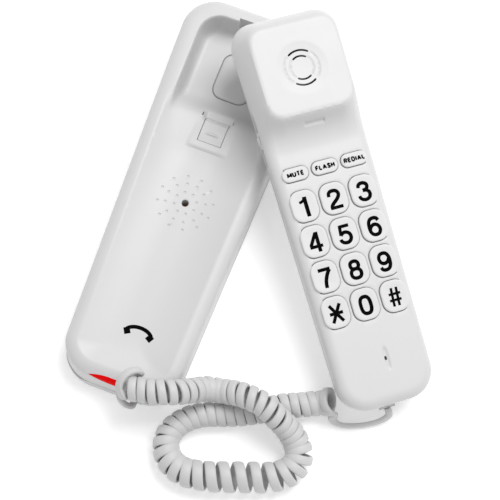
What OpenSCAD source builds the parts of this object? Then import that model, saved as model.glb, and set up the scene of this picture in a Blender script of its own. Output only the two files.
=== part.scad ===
// Slimline wall telephone: a wall base, the handset leaning across it and the curly cord.
// Millimetres. Origin on the base's back face, midway between its two wall keyholes.
// +X runs across the base, +Y along it towards its top, +Z out of its front.

/* [Base] */
// Distance from the origin to the lower end of the base
base_low = 112; // [100:1:140]
// Distance from the origin to the top end of the base
base_high = 109.5; // [106:0.5:135]
// Width of the base near its lower end
base_low_w = 65.8; // [60:0.2:84]
// Width of the base near its top
base_top_w = 76.2; // [74:0.2:96]
// Thickness of the base at its lower end
base_low_h = 22.5; // [21:0.5:28]
// Thickness of the base at its top
base_top_h = 30; // [26:0.5:38]
// Corner radius at the lower end
base_low_r = 19; // [10:1:26]
// Corner radius at the top
base_top_r = 19; // [10:1:26]
// How far the lower end leans outwards from front to back
base_lean = 2.8; // [0:0.1:4]
// Wall thickness of the base's two mouldings
base_wall = 2.2; // [1.6:0.1:2.8]
// Height of the back cover's side
tray_h = 6; // [5:0.5:7]
// Height of the trough's floor above the back face
trough_z = 19.7; // [18.5:0.1:20.5]
// Width of the rim around the trough
rim_w = 8; // [5:0.5:11]

/* [Earpiece recess] */
// Width of the recess that takes the earpiece
recess_w = 55; // [48:0.5:60]
// Lower edge of the recess, from the origin
recess_low = 39.5; // [36:0.5:42]
// Top edge of the recess, from the origin
recess_high = 100.3; // [94:0.1:102]
// Corner radius of the recess
recess_r = 12; // [6:0.5:16]
// Height of the recess floor above the back face
recess_z = 14; // [13:0.1:15]

/* [Hook button] */
// Width of the hook button
hook_w = 21; // [16:0.5:26]
// Length of the hook button
hook_len = 27; // [20:0.5:32]
// Centre of the hook button, from the origin
hook_y = 73.5; // [68:0.5:76]
// Travel of the hook button
hook_travel = 2.5; // [1.5:0.1:2.8]
// Gap around the hook button
hook_gap = 0.35; // [0.2:0.05:0.6]

/* [Wall hook tab] */
// Width of the tab that holds the handset on a wall
tab_w = 13.4; // [10:0.2:18]
// Length of the tab
tab_len = 13.8; // [11:0.2:16]
// Thickness of the tab's plate
tab_t = 2.3; // [1.6:0.1:2.4]
// Gap around the tab in its groove
tab_gap = 0.25; // [0.15:0.05:0.4]

/* [Wall mounting] */
// Distance between the two keyholes
keyhole_pitch = 83; // [76:0.5:102]
// Radius of a keyhole's round entry
keyhole_r = 4.5; // [3.5:0.1:5.5]
// Width of a keyhole's slot
keyhole_slot = 4.4; // [3.4:0.1:5.2]
// Length of a keyhole's slot from the centre of its entry
keyhole_run = 8.5; // [6:0.5:10]

/* [Grille] */
// Centre of the grille, from the origin
grille_y = -4; // [-10:0.5:4]
// Radius of the screw well in the middle of the grille
well_r = 1.95; // [1.8:0.05:2.6]
// Radius of a sound hole
sound_r = 0.75; // [0.4:0.05:1]

/* [Ring lamp] */
// Width of the ring lamp's lens
lens_w = 28; // [20:0.5:34]
// Height of the lens
lens_h = 6.2; // [4:0.1:6.4]
// Lower edge of the lens above the back face
lens_z = 15; // [14.5:0.1:15.5]

/* [Handset] */
// Length of the handset
hs_len = 213.5; // [190:0.5:250]
// Width of the handset near the microphone
hs_low_w = 53; // [48:0.5:62]
// Width of the handset near the earpiece
hs_top_w = 57.6; // [54:0.2:68]
// Corner radius at the microphone end
hs_low_r = 16; // [8:0.5:22]
// Corner radius at the earpiece end
hs_top_r = 12; // [6:0.5:20]
// Thickness of the handset without the earpiece block
hs_t = 24; // [22:0.5:28]
// Depth of the front moulding
hs_front = 12; // [11:0.5:14]
// Wall thickness of the handset's mouldings
hs_wall = 2.2; // [1.6:0.1:2.6]

/* [Earpiece] */
// Width of the earpiece block
ear_w = 51; // [42:0.5:53]
// Length of the earpiece block
ear_len = 52; // [42:0.5:54]
// Height of the earpiece block above the face
ear_h = 14; // [8:0.5:15]
// Distance from the block's outer end to the handset's end
ear_end = 6; // [3:0.5:8]
// Corner radius of the earpiece block
ear_r = 11; // [6:0.5:16]
// Radius of the receiver
receiver_r = 16; // [12:0.5:18]

/* [Keys] */
// Width of a digit key
key_w = 14.4; // [11:0.1:15]
// Length of a digit key
key_len = 16.8; // [13:0.1:17.4]
// Corner radius of a digit key
key_r = 5.6; // [2:0.1:6.5]
// Distance between key columns
key_dx = 16.5; // [15.9:0.1:18]
// Distance between key rows
key_dy = 19.3; // [18.9:0.1:21]
// Centre of the lowest row of keys from the microphone end
key_low = 54; // [50:0.5:60]
// Length of a function key
fn_len = 7.2; // [6:0.1:9]
// Centre of the function keys above the top row of digits
fn_up = 17.4; // [17:0.1:19]
// Travel of a key
key_travel = 1.2; // [0.6:0.1:1.3]
// Height of a key above the face
key_proud = 1.3; // [0.8:0.1:1.6]
// Gap around a key in its hole
key_gap = 0.3; // [0.2:0.05:0.45]

/* [Volume slider] */
// Centre of the slider from the microphone end
slider_y = 152; // [144:0.5:158]
// Length of the slider's groove
groove_len = 28; // [24:0.5:34]
// Length of the slider's knob
knob_len = 9; // [7:0.5:11]
// Travel of the slider each way
slider_travel = 8; // [5:0.5:8]

/* [Cord] */
// Width of the flat cord, which is the diameter of its tube
cord_d = 4.6; // [4:0.1:5.2]
// Outer diameter of the coil at its two ends
coil_d = 13.6; // [12:0.2:14]
// Outer diameter of the coil at the front of its loop
coil_front_d = 16.6; // [13:0.2:17]

/* [Hidden] */
$fn = 48;
DIGITS = ["1", "2", "3", "4", "5", "6", "7", "8", "9", "star", "0", "hash"];
FUNCTIONS = ["mute", "flash", "redial"];

// Where the handset lies: the middle of its microphone end on the face plane, and its turns
hs_place = [142, -68, 26];
hs_turn = [9.1, 8, 37.08];

// Shared clearances and small sizes
lip_gap = 0.15;
lip_t = 1.4;
lip_h = 1.8;
board_t = 1.6;
board_z = 4;
far = 400;

// Screws: shank and head radii
screw_r = 1.25;
screw_head_r = 2.8;
pilot_gap = 0.05;
small_r = 0.95;
small_head_r = 1.9;
small_head_h = 1.2;

// Heights inside the base
trough_under = trough_z - base_wall;
recess_under = recess_z - base_wall;
boss_z = 4.6;
boss_r = 3.6;
cup_r = 4.8;
post_z = 8;
post_r = 3.6;
well_z = 9.5;

// Places of the fasteners in the base
low_screw = [base_low_w / 2 - 9, -base_low + 16];
top_screw = [base_top_w / 2 - 8.6, base_high - 11.5];
board_low = -28;
board_high = 33;
board_w = 44;
jack_x = 13;
jack_w = 10.5;
jack_len = 13.5;
jack_h = 9.5;
socket_w = 8;
socket_h = 6.6;
plug_w = 7.6;
plug_h = 6;
plug_gap = (socket_w - plug_w) / 2;
plug_out = 1.6;
line_y = -68;
line_w = 13;
line_len = 11;
line_socket_w = 9.8;
line_socket_len = 6.8;
ringer_r = 13;
ringer_y = grille_y - 22;
pad_r = 5;
pad_t = 0.8;
lens_depth = 14;
flange = 1.5;
flange_t = 1.5;
spring_r = 3.4;
wire_r = 0.35;

// Wall hook tab and its groove
tab_top = trough_z + 1.5;
rail_out = 2;
rail_t = 1.8;
tab_low = recess_low - 8;
housing_side = 4.4;

// Heights inside the handset, measured down from the face
under_face = -hs_wall;
key_foot = under_face - flange_t - 1.4;
mat_top = key_foot - key_travel - 0.1;
mat_t = 1.2;
board_top = mat_top - mat_t;
hs_jack_z = -16.2;
key_top = key_low + 3 * key_dy;
fn_y = key_top + fn_up;
ear_y1 = hs_len - ear_end;
ear_y0 = ear_y1 - ear_len;
ear_mid = (ear_y0 + ear_y1) / 2;
catch_y = ear_y0 - 3.4;
mic_y = 24;
slider_z = -8;
knob_h = 4.4;
groove_floor = 1.2;
board_y0 = key_low - 16;
board_y1 = fn_y + 12;
hs_board_w = 40;

// Curly cord: the centre of the coil, hand laid, and where its two tails run
COIL = [[6.5, -110.3, 30.6], [12, -109.5, 30.8], [17, -108.4, 31], [22, -107.5, 31.2], [28, -105.5, 31], [34, -103, 29],
    [40, -99, 24], [47, -94, 17], [55, -92, 16], [63, -91, 20], [70, -91, 22.5], [78, -92, 22.5],
    [86, -95, 20], [94, -98, 14], [101, -103, 9.5], [105, -110, 8.6], [103, -118, 8.6],
    [96, -124, 8.6], [86, -128, 8.6], [75, -132, 8.6], [63, -136, 8.6], [51, -138, 8.6],
    [42, -135, 8.6], [37, -128, 8.4], [37, -120, 8], [42, -112, 7.6], [50, -106, 7.2],
    [60, -102, 7], [69, -98, 7], [78, -93, 7], [87, -87, 7], [96, -83, 7], [104, -79, 7]];
TAIL_BASE = [[13, -113.1, 10], [12.4, -117, 11], [9.5, -120.5, 15], [4.5, -120.5, 21],
    [1.5, -117, 27], [2.4, -112.6, 30], [6.5, -110.3, 30.6]];
TAIL_HANDSET = [[104, -79, 7], [107.5, -79.8, 5.6], [112, -82.6, 3.6], [120, -84.6, 2.6],
    [129, -82.2, 2.6], [137, -77.6, 3.8], [141, -72.8, 6.8]];

// ---- Shared shapes ----

function arc(c, r, a0, a1, n = 10) =
    [for (i = [0:n]) let (a = a0 + (a1 - a0) * i / n) [c.x + r * cos(a), c.y + r * sin(a)]];

// A tapered plate with four round corners, as a list of points
function plate(w0, w1, y0, y1, r0, r1) =
    let (c0 = [w0 / 2 - r0, y0 + r0], c1 = [w1 / 2 - r1, y1 - r1], d = c1 - c0,
         t = asin((r0 - r1) / norm(d)) - atan2(d.x, d.y))
    concat(arc(c0, r0, -90, t), arc(c1, r1, t, 90),
           arc([-c1.x, c1.y], r1, 90, 180 - t), arc([-c0.x, c0.y], r0, 180 - t, 270));

function base_plate(inset) = plate(base_low_w - 2 * inset, base_top_w - 2 * inset,
    inset - base_low, base_high - inset, base_low_r - inset, base_top_r - inset);

function hs_plate(inset) = plate(hs_low_w - 2 * inset, hs_top_w - 2 * inset,
    inset, hs_len - inset, hs_low_r - inset, hs_top_r - inset);

function rim_z(y) = base_low_h + (base_top_h - base_low_h) * (y + base_low) / (base_low + base_high);

// A block with round upright corners
module slab(w, y0, y1, r, z0, z1)
    translate([0, 0, z0]) linear_extrude(z1 - z0) polygon(plate(w, w, y0, y1, r, r));

// A block given by its low and high corners
module block(low, high) translate(low) cube(high - low);

module at_mirrored(x, y, z = 0) {
    translate([x, y, z]) children();
    translate([-x, y, z]) children();
}

// A pan-head screw: its head's flat side at z = 0, its shank pointing up
module screw(r, len, head_r, head_h) {
    difference() {
        translate([0, 0, -head_h]) cylinder(r = head_r, h = head_h);
        translate([0, 0, -head_h - 0.01]) cylinder(r = head_r * 0.42, h = head_h * 0.5, $fn = 6);
    }
    cylinder(r = r, h = len);
}

// Smooth curve through hand-laid points
function at(p, i) = p[max(0, min(len(p) - 1, i))];
function smooth(p, k) = [for (i = [0:len(p) - 2]) for (j = [0:k - 1])
    let (t = j / k, a = at(p, i - 1), b = p[i], c = p[i + 1], d = at(p, i + 2))
    (2 * b + (c - a) * t + (2 * a - 5 * b + 4 * c - d) * t * t
        + (3 * b - a - 3 * c + d) * t * t * t) / 2,
    p[len(p) - 1]];

function unit(v) = v / norm(v);

// One sideways direction per path point, carried along so that the tube never twists
function carried(s, t) = unit(s - (s * t) * t);
function sideways(dirs, i = 0, s = undef) =
    i == len(dirs) ? []
    : let (now = carried(is_undef(s) ? cross(dirs[0], [0.1, 0.2, 1]) : s, dirs[i]))
      concat([now], sideways(dirs, i + 1, now));

// A closed tube along a path: one ring of sides points at each path point
module tube(path, radii, sides, first = undef, last = undef) {
    n = len(path);
    dirs = [for (i = [0:n - 1])
        i == 0 && !is_undef(first) ? first
        : i == n - 1 && !is_undef(last) ? last
        : unit(path[min(n - 1, i + 1)] - path[max(0, i - 1)])];
    sides_at = sideways(dirs);
    rings = [for (i = [0:n - 1]) let (s = sides_at[i], u = cross(s, dirs[i]))
        for (j = [0:sides - 1]) let (a = 360 * j / sides)
        path[i] + radii[i] * (cos(a) * s + sin(a) * u)];
    walls = [for (i = [0:n - 2]) for (j = [0:sides - 1]) let (k = (j + 1) % sides)
        [i * sides + j, i * sides + k, (i + 1) * sides + k, (i + 1) * sides + j]];
    ends = [[for (j = [sides - 1:-1:0]) j], [for (j = [0:sides - 1]) (n - 1) * sides + j]];
    polyhedron(rings, concat(walls, ends), convexity = 10);
}

// ---- Base ----

// The side view of the base, pulled in by inset all round and lowered by drop at the top
module base_side(inset = 0, drop = 0)
    rotate([90, 0, 90]) translate([0, 0, -far / 2]) linear_extrude(far)
        polygon([[inset - base_low, 0], [inset - base_low + base_lean, base_low_h - drop],
            [base_high - inset, base_top_h - drop], [base_high - inset, 0]]);

// The base's outer form between two heights
module base_form(inset, z0, z1, drop = 0)
    intersection() {
        translate([0, 0, z0]) linear_extrude(z1 - z0) polygon(base_plate(inset));
        base_side(inset, drop);
    }

module base_hollow() {
    difference() {
        base_form(base_wall, 0, trough_under);
        block([-far, recess_low - base_wall, recess_under], [far, far, far]);
    }
    difference() {
        base_form(base_wall, recess_under - 1, base_top_h, base_wall);
        block([-far, -far, 0], [far, recess_low - base_wall, far]);
        slab(recess_w + 2 * base_wall, recess_low - base_wall, recess_high + base_wall,
            recess_r + base_wall, 0, far);
    }
}

module trough_cut()
    difference() {
        translate([0, 0, trough_z]) linear_extrude(far) polygon(base_plate(rim_w));
        block([-far, recess_low, 0], [far, far, far]);
    }

module recess_cut()
    slab(recess_w, recess_low, recess_high, recess_r, recess_z, far);

// Raised ground around the wall hook tab, thick enough for its groove
module tab_housing()
    block([-tab_w / 2 - housing_side, tab_low - 4.5, tab_top - tab_t - rail_t - 2],
        [tab_w / 2 + housing_side, recess_low, tab_top]);

module tab_groove() {
    block([-tab_w / 2 - tab_gap, tab_low - tab_gap, tab_top - tab_t - 0.05],
        [tab_w / 2 + tab_gap, recess_low + 1, far]);
    block([-tab_w / 2 - rail_out - tab_gap, tab_low - tab_gap, tab_top - tab_t - rail_t - tab_gap],
        [tab_w / 2 + rail_out + tab_gap, recess_low + 1, tab_top - tab_t + 0.05]);
}

module grille_holes() {
    for (ring = [[6.1, 8], [10.9, 12], [15.1, 12]])
        for (i = [0:ring[1] - 1])
            rotate(360 * (i + 0.5) / ring[1])
                translate([ring[0], 0, trough_z - 0.9]) cylinder(r = sound_r, h = 2, $fn = 24);
}

module lens_opening(grow)
    block([-lens_w / 2 - grow, -far, lens_z - grow],
        [lens_w / 2 + grow, lens_depth - base_low, lens_z + lens_h + grow]);

module base_front_shell() color("white")
    difference() {
        union() {
            difference() {
                base_form(0, tray_h, base_top_h);
                base_hollow();
                trough_cut();
            }
            intersection() {
                tab_housing();
                base_form(1, 0, base_top_h);
            }
            intersection() {
                union() {
                    at_mirrored(low_screw.x, low_screw.y, boss_z) cylinder(r = boss_r, h = far);
                    at_mirrored(top_screw.x, top_screw.y, boss_z) cylinder(r = boss_r, h = far);
                }
                base_form(1, 0, base_top_h, 1);
            }
            translate([0, grille_y, post_z]) cylinder(r = post_r + 0.8, h = trough_z - post_z);
            translate([0, ringer_y, 12]) difference() {
                cylinder(r = ringer_r + 1.6, h = trough_under - 11);
                translate([0, 0, -1]) cylinder(r = ringer_r + 0.2, h = trough_under - 11);
            }
        }
        trough_cut_round_tab();
        recess_cut();
        slab(hook_w + 2 * hook_gap, hook_y - hook_len / 2 - hook_gap, hook_y + hook_len / 2 + hook_gap,
            6 + hook_gap, recess_under - 1, far);
        tab_groove();
        translate([0, grille_y, 0]) {
            translate([0, 0, well_z]) cylinder(r = well_r, h = far);
            translate([0, 0, post_z - 1]) cylinder(r = screw_r, h = far);
            grille_holes();
        }
        intersection() {
            lens_opening(0.15);
            difference() {
                base_form(-1, 0, base_low_h + 5);
                base_form(base_wall + 0.5, 0, far);
            }
        }
        block([jack_x - socket_w / 2, -far, board_z + board_t + 0.9],
            [jack_x + socket_w / 2, 8 - base_low, board_z + board_t + 0.9 + socket_h + 0.6]);
        at_mirrored(low_screw.x, low_screw.y, boss_z - 1) cylinder(r = screw_r + pilot_gap, h = 10);
        at_mirrored(top_screw.x, top_screw.y, boss_z - 1) cylinder(r = screw_r + pilot_gap, h = 10);
    }

// The trough again, but leaving the ground around the tab standing
module trough_cut_round_tab()
    difference() {
        trough_cut();
        tab_housing();
    }

module keyhole(y)
    translate([0, y, -1]) {
        cylinder(r = keyhole_r, h = base_wall + 2);
        block([-keyhole_slot / 2, 0, 0], [keyhole_slot / 2, keyhole_run, base_wall + 2]);
        translate([0, keyhole_run, 0]) cylinder(r = keyhole_slot / 2, h = base_wall + 2);
    }

module standoffs(points)
    for (p = points)
        translate([p.x, p.y, base_wall - 0.1])
            cylinder(r = 2.4, h = board_z - base_wall + 0.1);

module pilots(points)
    for (p = points)
        translate([p.x, p.y, 1.2]) cylinder(r = small_r + pilot_gap, h = far, $fn = 24);

board_fix = [[-18, board_low + 4], [18, board_low + 4], [-18, board_high - 4], [18, board_high - 4]];
hook_fix = [[-10, hook_y - 11.5], [10, hook_y - 11.5], [-10, hook_y + 11.5], [10, hook_y + 11.5]];
jack_fix = [[-11, 23 - base_low], [15.5, 23 - base_low]];
pads_at = [[base_low_w / 2 - 8, 32 - base_low], [base_top_w / 2 - 9, base_high - 26]];

module base_back_cover() color("whitesmoke")
    difference() {
        union() {
            difference() {
                base_form(0, 0, tray_h);
                base_form(base_wall, base_wall, tray_h + 1);
            }
            difference() {
                base_form(base_wall + lip_gap, base_wall - 0.1, tray_h + lip_h);
                base_form(base_wall + lip_gap + lip_t, 0, far);
                block([jack_x - jack_w / 2 - 1, -far, base_wall],
                    [jack_x + jack_w / 2 + 1, 8 - base_low, far]);
                for (p = [low_screw, top_screw])
                    at_mirrored(p.x, p.y, boss_z) cylinder(r = boss_r + 0.4, h = far);
            }
            for (p = [low_screw, top_screw])
                at_mirrored(p.x, p.y, 0.5) cylinder(r = cup_r, h = boss_z - 0.5);
            translate([0, grille_y, 0.5]) cylinder(r = post_r, h = post_z - 0.5);
            standoffs(concat(board_fix, hook_fix, jack_fix));
        }
        for (p = [low_screw, top_screw])
            at_mirrored(p.x, p.y, -1) {
                cylinder(r = screw_head_r + 0.3, h = 4);
                cylinder(r = screw_r + 0.3, h = boss_z + 2);
            }
        translate([0, grille_y, 2]) cylinder(r = screw_r + pilot_gap - 0.2, h = post_z);
        pilots(concat(board_fix, hook_fix, jack_fix));
        keyhole(keyhole_pitch / 2);
        keyhole(-keyhole_pitch / 2);
        block([-line_socket_w / 2, line_y - line_socket_len / 2, -1],
            [line_socket_w / 2, line_y + line_socket_len / 2, 4]);
        for (p = pads_at)
            at_mirrored(p.x, p.y, -1) cylinder(r = pad_r + 0.1, h = pad_t + 1);
    }

module base_screws() color("silver")
    for (p = [low_screw, top_screw])
        at_mirrored(p.x, p.y, 3) screw(screw_r, 9, screw_head_r, 2);

module grille_screw() color("peru")
    translate([0, grille_y, well_z]) mirror([0, 0, 1]) screw(screw_r - 0.2, 7, well_r - 0.1, 1.8);

module base_pads() color("dimgray")
    for (p = pads_at)
        at_mirrored(p.x, p.y) cylinder(r = pad_r, h = pad_t);

module board_holes(points)
    for (p = points)
        translate([p.x, p.y, 0]) cylinder(r = small_r + 0.2, h = far, $fn = 24);

// A chip lying on the board
module part_on_board(x, y, w, l, h)
    translate([x - w / 2, y - l / 2, board_z + board_t - 0.02]) cube([w, l, h]);

module base_board() color("darkgreen")
    difference() {
        union() {
            block([-board_w / 2, board_low, board_z], [board_w / 2, board_high, board_z + board_t]);
            part_on_board(-11, 14, 8, 13, 2.2);
            part_on_board(9, 20, 5, 5, 6);
            part_on_board(12, 8, 9, 6, 4);
            part_on_board(-12, -14, 6, 9, 3);
            for (i = [0:4]) part_on_board(-6 + 4 * i, 28, 1.8, 4.4, 1.5);
        }
        translate([0, grille_y, 0]) cylinder(r = post_r + 1.4, h = far);
        board_holes(board_fix);
    }

module base_board_screws() color("silver")
    for (p = concat(board_fix, hook_fix, jack_fix))
        translate([p.x, p.y, board_z + board_t]) mirror([0, 0, 1])
            screw(small_r, 4, small_head_r, small_head_h);

module jack_board() color("darkgreen")
    difference() {
        block([-15, 5 - base_low, board_z], [18.8, 27 - base_low, board_z + board_t]);
        board_holes(jack_fix);
    }

// A four-way cord jack: its socket's mouth at y = 0, its foot at z = 0
module cord_jack()
    difference() {
        block([-jack_w / 2, 0, 0], [jack_w / 2, jack_len, jack_h]);
        block([-socket_w / 2, -1, 1.2], [socket_w / 2, jack_len - 2, 1.2 + socket_h]);
    }

jack_y = base_wall + 1.6 - base_low + base_lean * 15 / base_low_h;

module cord_jack_base() color("gray")
    translate([jack_x, jack_y, board_z + board_t]) cord_jack();

module line_jack() color("gray")
    difference() {
        block([-line_w / 2, line_y - line_len / 2, base_wall], [line_w / 2, line_y + line_len / 2, 14]);
        block([-line_socket_w / 2, line_y - line_socket_len / 2, 0],
            [line_socket_w / 2, line_y + line_socket_len / 2, 12]);
    }

module ringer() color("black")
    translate([0, ringer_y, trough_under]) mirror([0, 0, 1]) {
        cylinder(r = ringer_r, h = 3);
        cylinder(r = ringer_r - 2.5, h = 6.5);
        cylinder(r = 5, h = 8);
    }

module ring_lens() color("red")
    intersection() {
        union() {
            intersection() {
                lens_opening(0);
                difference() {
                    base_form(0, 0, base_low_h + 5);
                    base_form(base_wall, 0, far);
                }
            }
            difference() {
                intersection() {
                    lens_opening(0);
                    base_form(base_wall, 0, trough_under - 0.2);
                }
                base_form(base_wall + 1.2, 0, far);
            }
        }
        lens_opening(0);
    }

module ring_led() color("salmon") {
    translate([-6, 7.4 - base_low, 13]) {
        cylinder(r = 2, h = 3.4);
        for (x = [-1.2, 1.2]) translate([x, 0, board_z + board_t - 13]) cylinder(r = 0.3, h = 8, $fn = 16);
    }
}

module hook_button() color("white") {
    slab(hook_w, hook_y - hook_len / 2, hook_y + hook_len / 2, 6, recess_under - 0.1, recess_z + hook_travel);
    slab(hook_w + 2 * flange, hook_y - hook_len / 2 - flange, hook_y + hook_len / 2 + flange, 6 + flange,
        recess_under - flange_t, recess_under);
    translate([0, hook_y, recess_under - flange_t - 1.2]) cylinder(r = spring_r - 1, h = 1.3);
}

// Coil spring standing on the hook board
module hook_spring() color("silver") {
    turns = 4;
    steps = 14;
    low = board_z + board_t + wire_r;
    high = recess_under - flange_t - wire_r;
    path = [for (i = [0:turns * steps])
        [spring_r * cos(360 * i / steps), hook_y + spring_r * sin(360 * i / steps),
            low + (high - low) * i / (turns * steps)]];
    tube(path, [for (p = path) wire_r], 6);
}

module hook_switch() color("dimgray") {
    block([5.5, hook_y - 3.5, board_z + board_t], [10.5, hook_y + 3.5, board_z + board_t + 1.4]);
    translate([8, hook_y, board_z + board_t]) cylinder(r = 1.1, h = 1.9, $fn = 24);
}

module hook_board() color("darkgreen")
    difference() {
        block([-12.5, hook_y - 14, board_z], [12.5, hook_y + 14, board_z + board_t]);
        board_holes(hook_fix);
    }

module wall_hook_tab() color("white") {
    top = tab_top - 0.1;
    block([-tab_w / 2, tab_low, top - tab_t], [tab_w / 2, tab_low + tab_len, top]);
    block([-tab_w / 2 - rail_out, tab_low, top - tab_t - rail_t + 0.1],
        [tab_w / 2 + rail_out, tab_low + tab_len - 2, top - tab_t]);
    translate([0, tab_low + 4, top]) intersection() {
        cylinder(r = 4.5, h = 0.8);
        block([-5, 2.5, 0], [5, 5, 1]);
    }
}

// ---- Handset, in its own frame: microphone end at y = 0, face at z = 0 ----

module in_hand()
    translate(hs_place) rotate([0, 0, hs_turn.z]) rotate([hs_turn.x, 0, 0]) rotate([0, hs_turn.y, 0])
        children();

// A point of the handset's frame, in the base's frame
function turn_x(p, a) = [p.x, p.y * cos(a) - p.z * sin(a), p.y * sin(a) + p.z * cos(a)];
function turn_y(p, a) = [p.x * cos(a) + p.z * sin(a), p.y, p.z * cos(a) - p.x * sin(a)];
function turn_z(p, a) = [p.x * cos(a) - p.y * sin(a), p.x * sin(a) + p.y * cos(a), p.z];
function hand_point(p) = hs_place + turn_z(turn_x(turn_y(p, hs_turn.y), hs_turn.x), hs_turn.z);

module hs_form(inset, z0, z1)
    translate([0, 0, z0]) linear_extrude(z1 - z0) polygon(hs_plate(inset));

module ear_form(inset, z0, z1)
    slab(ear_w - 2 * inset, ear_y0 + inset, ear_y1 - inset, ear_r - inset, z0, z1);

module key_hole(col, row, l, grow, z0, z1, r)
    translate([(col - 1) * key_dx, 0, 0])
        slab(key_w + 2 * grow, row - l / 2 - grow, row + l / 2 + grow, r + grow, z0, z1);

function row_y(i) = key_top - floor(i / 3) * key_dy;

// Arc slots of one ring in the earpiece
module arc_slots(r, w, count, z0, z1)
    for (i = [0:count - 1])
        intersection() {
            translate([0, 0, z0]) difference() {
                cylinder(r = r + w / 2, h = z1 - z0);
                translate([0, 0, -1]) cylinder(r = r - w / 2, h = z1 - z0 + 2);
            }
            rotate(360 * i / count) linear_extrude(z1)
                polygon([[0, 0], [30, -30 * tan(130 / count)], [30, 30 * tan(130 / count)]]);
        }

module jack_window()
    block([-socket_w / 2, -far, hs_jack_z - socket_h / 2 - 0.3],
        [socket_w / 2, hs_wall + 2, hs_jack_z + socket_h / 2 + 0.3]);

module slider_groove()
    block([-far, slider_y - groove_len / 2, slider_z - knob_h / 2 - 0.4],
        [groove_floor - hs_side(slider_y), slider_y + groove_len / 2, slider_z + knob_h / 2 + 0.4]);

// Half width of the handset at a place along it
function hs_side(y) =
    (hs_low_w + (hs_top_w - hs_low_w) * (y - hs_low_r) / (hs_len - hs_low_r - hs_top_r)) / 2;

hs_boss = [[7.5 - hs_low_w / 2, mic_y + 10], [hs_low_w / 2 - 7.5, mic_y + 10], [0, hs_len - 8]];
hs_board_fix = [for (x = [-1, 1]) for (y = [board_y0 + 3.2, board_y1 - 3.2]) [x * 17.5, y]];
hs_boss_z = -18;

module handset_front_shell() color("white") in_hand()
    difference() {
        union() {
            difference() {
                union() {
                    hs_form(0, -hs_front, 0);
                    ear_form(0, -1, ear_h);
                }
                hs_form(hs_wall, -hs_front - 1, under_face);
                ear_form(hs_wall, -hs_front - 1, ear_h - hs_wall);
            }
            for (p = hs_boss)
                translate([p.x, p.y, hs_boss_z]) cylinder(r = 3.3, h = -hs_boss_z - 1);
            for (p = hs_board_fix)
                translate([p.x, p.y, board_top]) cylinder(r = 2.2, h = -board_top - 1);
            block([5.5 - hs_side(slider_y), slider_y - slider_travel, slider_z + 2],
                [9 - hs_side(slider_y), slider_y + slider_travel, -1]);
            translate([0, ear_mid, -1]) difference() {
                cylinder(r = receiver_r + 1.7, h = ear_h);
                translate([0, 0, -1]) cylinder(r = receiver_r + 0.2, h = ear_h + 2);
            }
        }
        for (i = [0:11])
            key_hole(i % 3, row_y(i), key_len, key_gap, under_face - 1, 1, key_r);
        for (i = [0:2])
            key_hole(i, fn_y, fn_len, key_gap, under_face - 1, 1, fn_len / 2 - 0.1);
        translate([0, ear_mid, 0]) {
            arc_slots(9.3, 1.6, 4, ear_h - hs_wall - 1, ear_h + 1);
            arc_slots(6, 1.4, 4, ear_h - hs_wall - 1, ear_h + 1);
        }
        block([-5.6, catch_y - 1.1, under_face - 1], [5.6, catch_y + 1.1, 1]);
        translate([0, mic_y, under_face - 1]) cylinder(r = 0.9, h = 4, $fn = 24);
        jack_window();
        slider_groove();
        block([-far, slider_y - groove_len / 2 + 2, slider_z - 1.1],
            [6 - hs_side(slider_y), slider_y + groove_len / 2 - 2, slider_z + 1.1]);
        for (p = hs_boss)
            translate([p.x, p.y, hs_boss_z - 1]) cylinder(r = screw_r + pilot_gap, h = 9);
        for (p = hs_board_fix)
            translate([p.x, p.y, board_top - 1]) cylinder(r = small_r + pilot_gap, h = 4.5, $fn = 24);
    }

module handset_back_shell() color("white") in_hand()
    difference() {
        union() {
            difference() {
                hs_form(0, -hs_t, -hs_front);
                hs_form(hs_wall, hs_wall - hs_t, 0);
            }
            difference() {
                hs_form(hs_wall + lip_gap, hs_wall - hs_t - 0.1, lip_h - hs_front);
                hs_form(hs_wall + lip_gap + lip_t, -far, 0);
                block([-jack_w / 2 - 1, -1, -far], [jack_w / 2 + 1, 8, 0]);
                block([-far, slider_y - groove_len / 2 - 1, -hs_front - 1],
                    [0, slider_y + groove_len / 2 + 1, 0]);
            }
            for (p = hs_boss)
                translate([p.x, p.y, 0.5 - hs_t]) cylinder(r = 4.6, h = hs_boss_z + hs_t - 0.5);
            block([-jack_w / 2, 3, hs_wall - hs_t - 0.1], [jack_w / 2, 14, hs_jack_z - 1.2 - socket_h / 2]);
            block([-8, 66, hs_wall - hs_t - 0.1], [8, 69, hs_wall - hs_t + 4]);
            block([-8, 121.4, hs_wall - hs_t - 0.1], [8, 124.4, hs_wall - hs_t + 4]);
        }
        for (p = hs_boss)
            translate([p.x, p.y, -1 - hs_t]) {
                cylinder(r = screw_head_r + 0.3, h = 4);
                cylinder(r = screw_r + 0.3, h = 10);
            }
        jack_window();
    }

module handset_screws() color("silver") in_hand()
    for (p = hs_boss)
        translate([p.x, p.y, 3 - hs_t]) screw(screw_r, 9, screw_head_r, 2);

module handset_board() color("darkgreen") in_hand()
    difference() {
        union() {
            block([-hs_board_w / 2, board_y0, board_top - board_t], [hs_board_w / 2, board_y1, board_top]);
            block([-6, 90, board_top - board_t - 2], [2, 104, board_top - board_t + 0.1]);
            block([6, 70, board_top - board_t - 4], [11, 75, board_top - board_t + 0.1]);
        }
        for (p = hs_board_fix)
            translate([p.x, p.y, -far / 2]) cylinder(r = small_r + 0.2, h = far, $fn = 24);
    }

module handset_board_screws() color("silver") in_hand()
    for (p = hs_board_fix)
        translate([p.x, p.y, board_top - board_t]) screw(small_r, 4.5, small_head_r, small_head_h);

module keypad_mat() color("lightgray") in_hand()
    difference() {
        slab(2 * key_dx + key_w - 1, key_low - key_len / 2, fn_y + fn_len / 2, 3, board_top, mat_top);
        for (p = hs_board_fix)
            translate([p.x, p.y, -far / 2]) cylinder(r = 2.6, h = far);
    }

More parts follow.
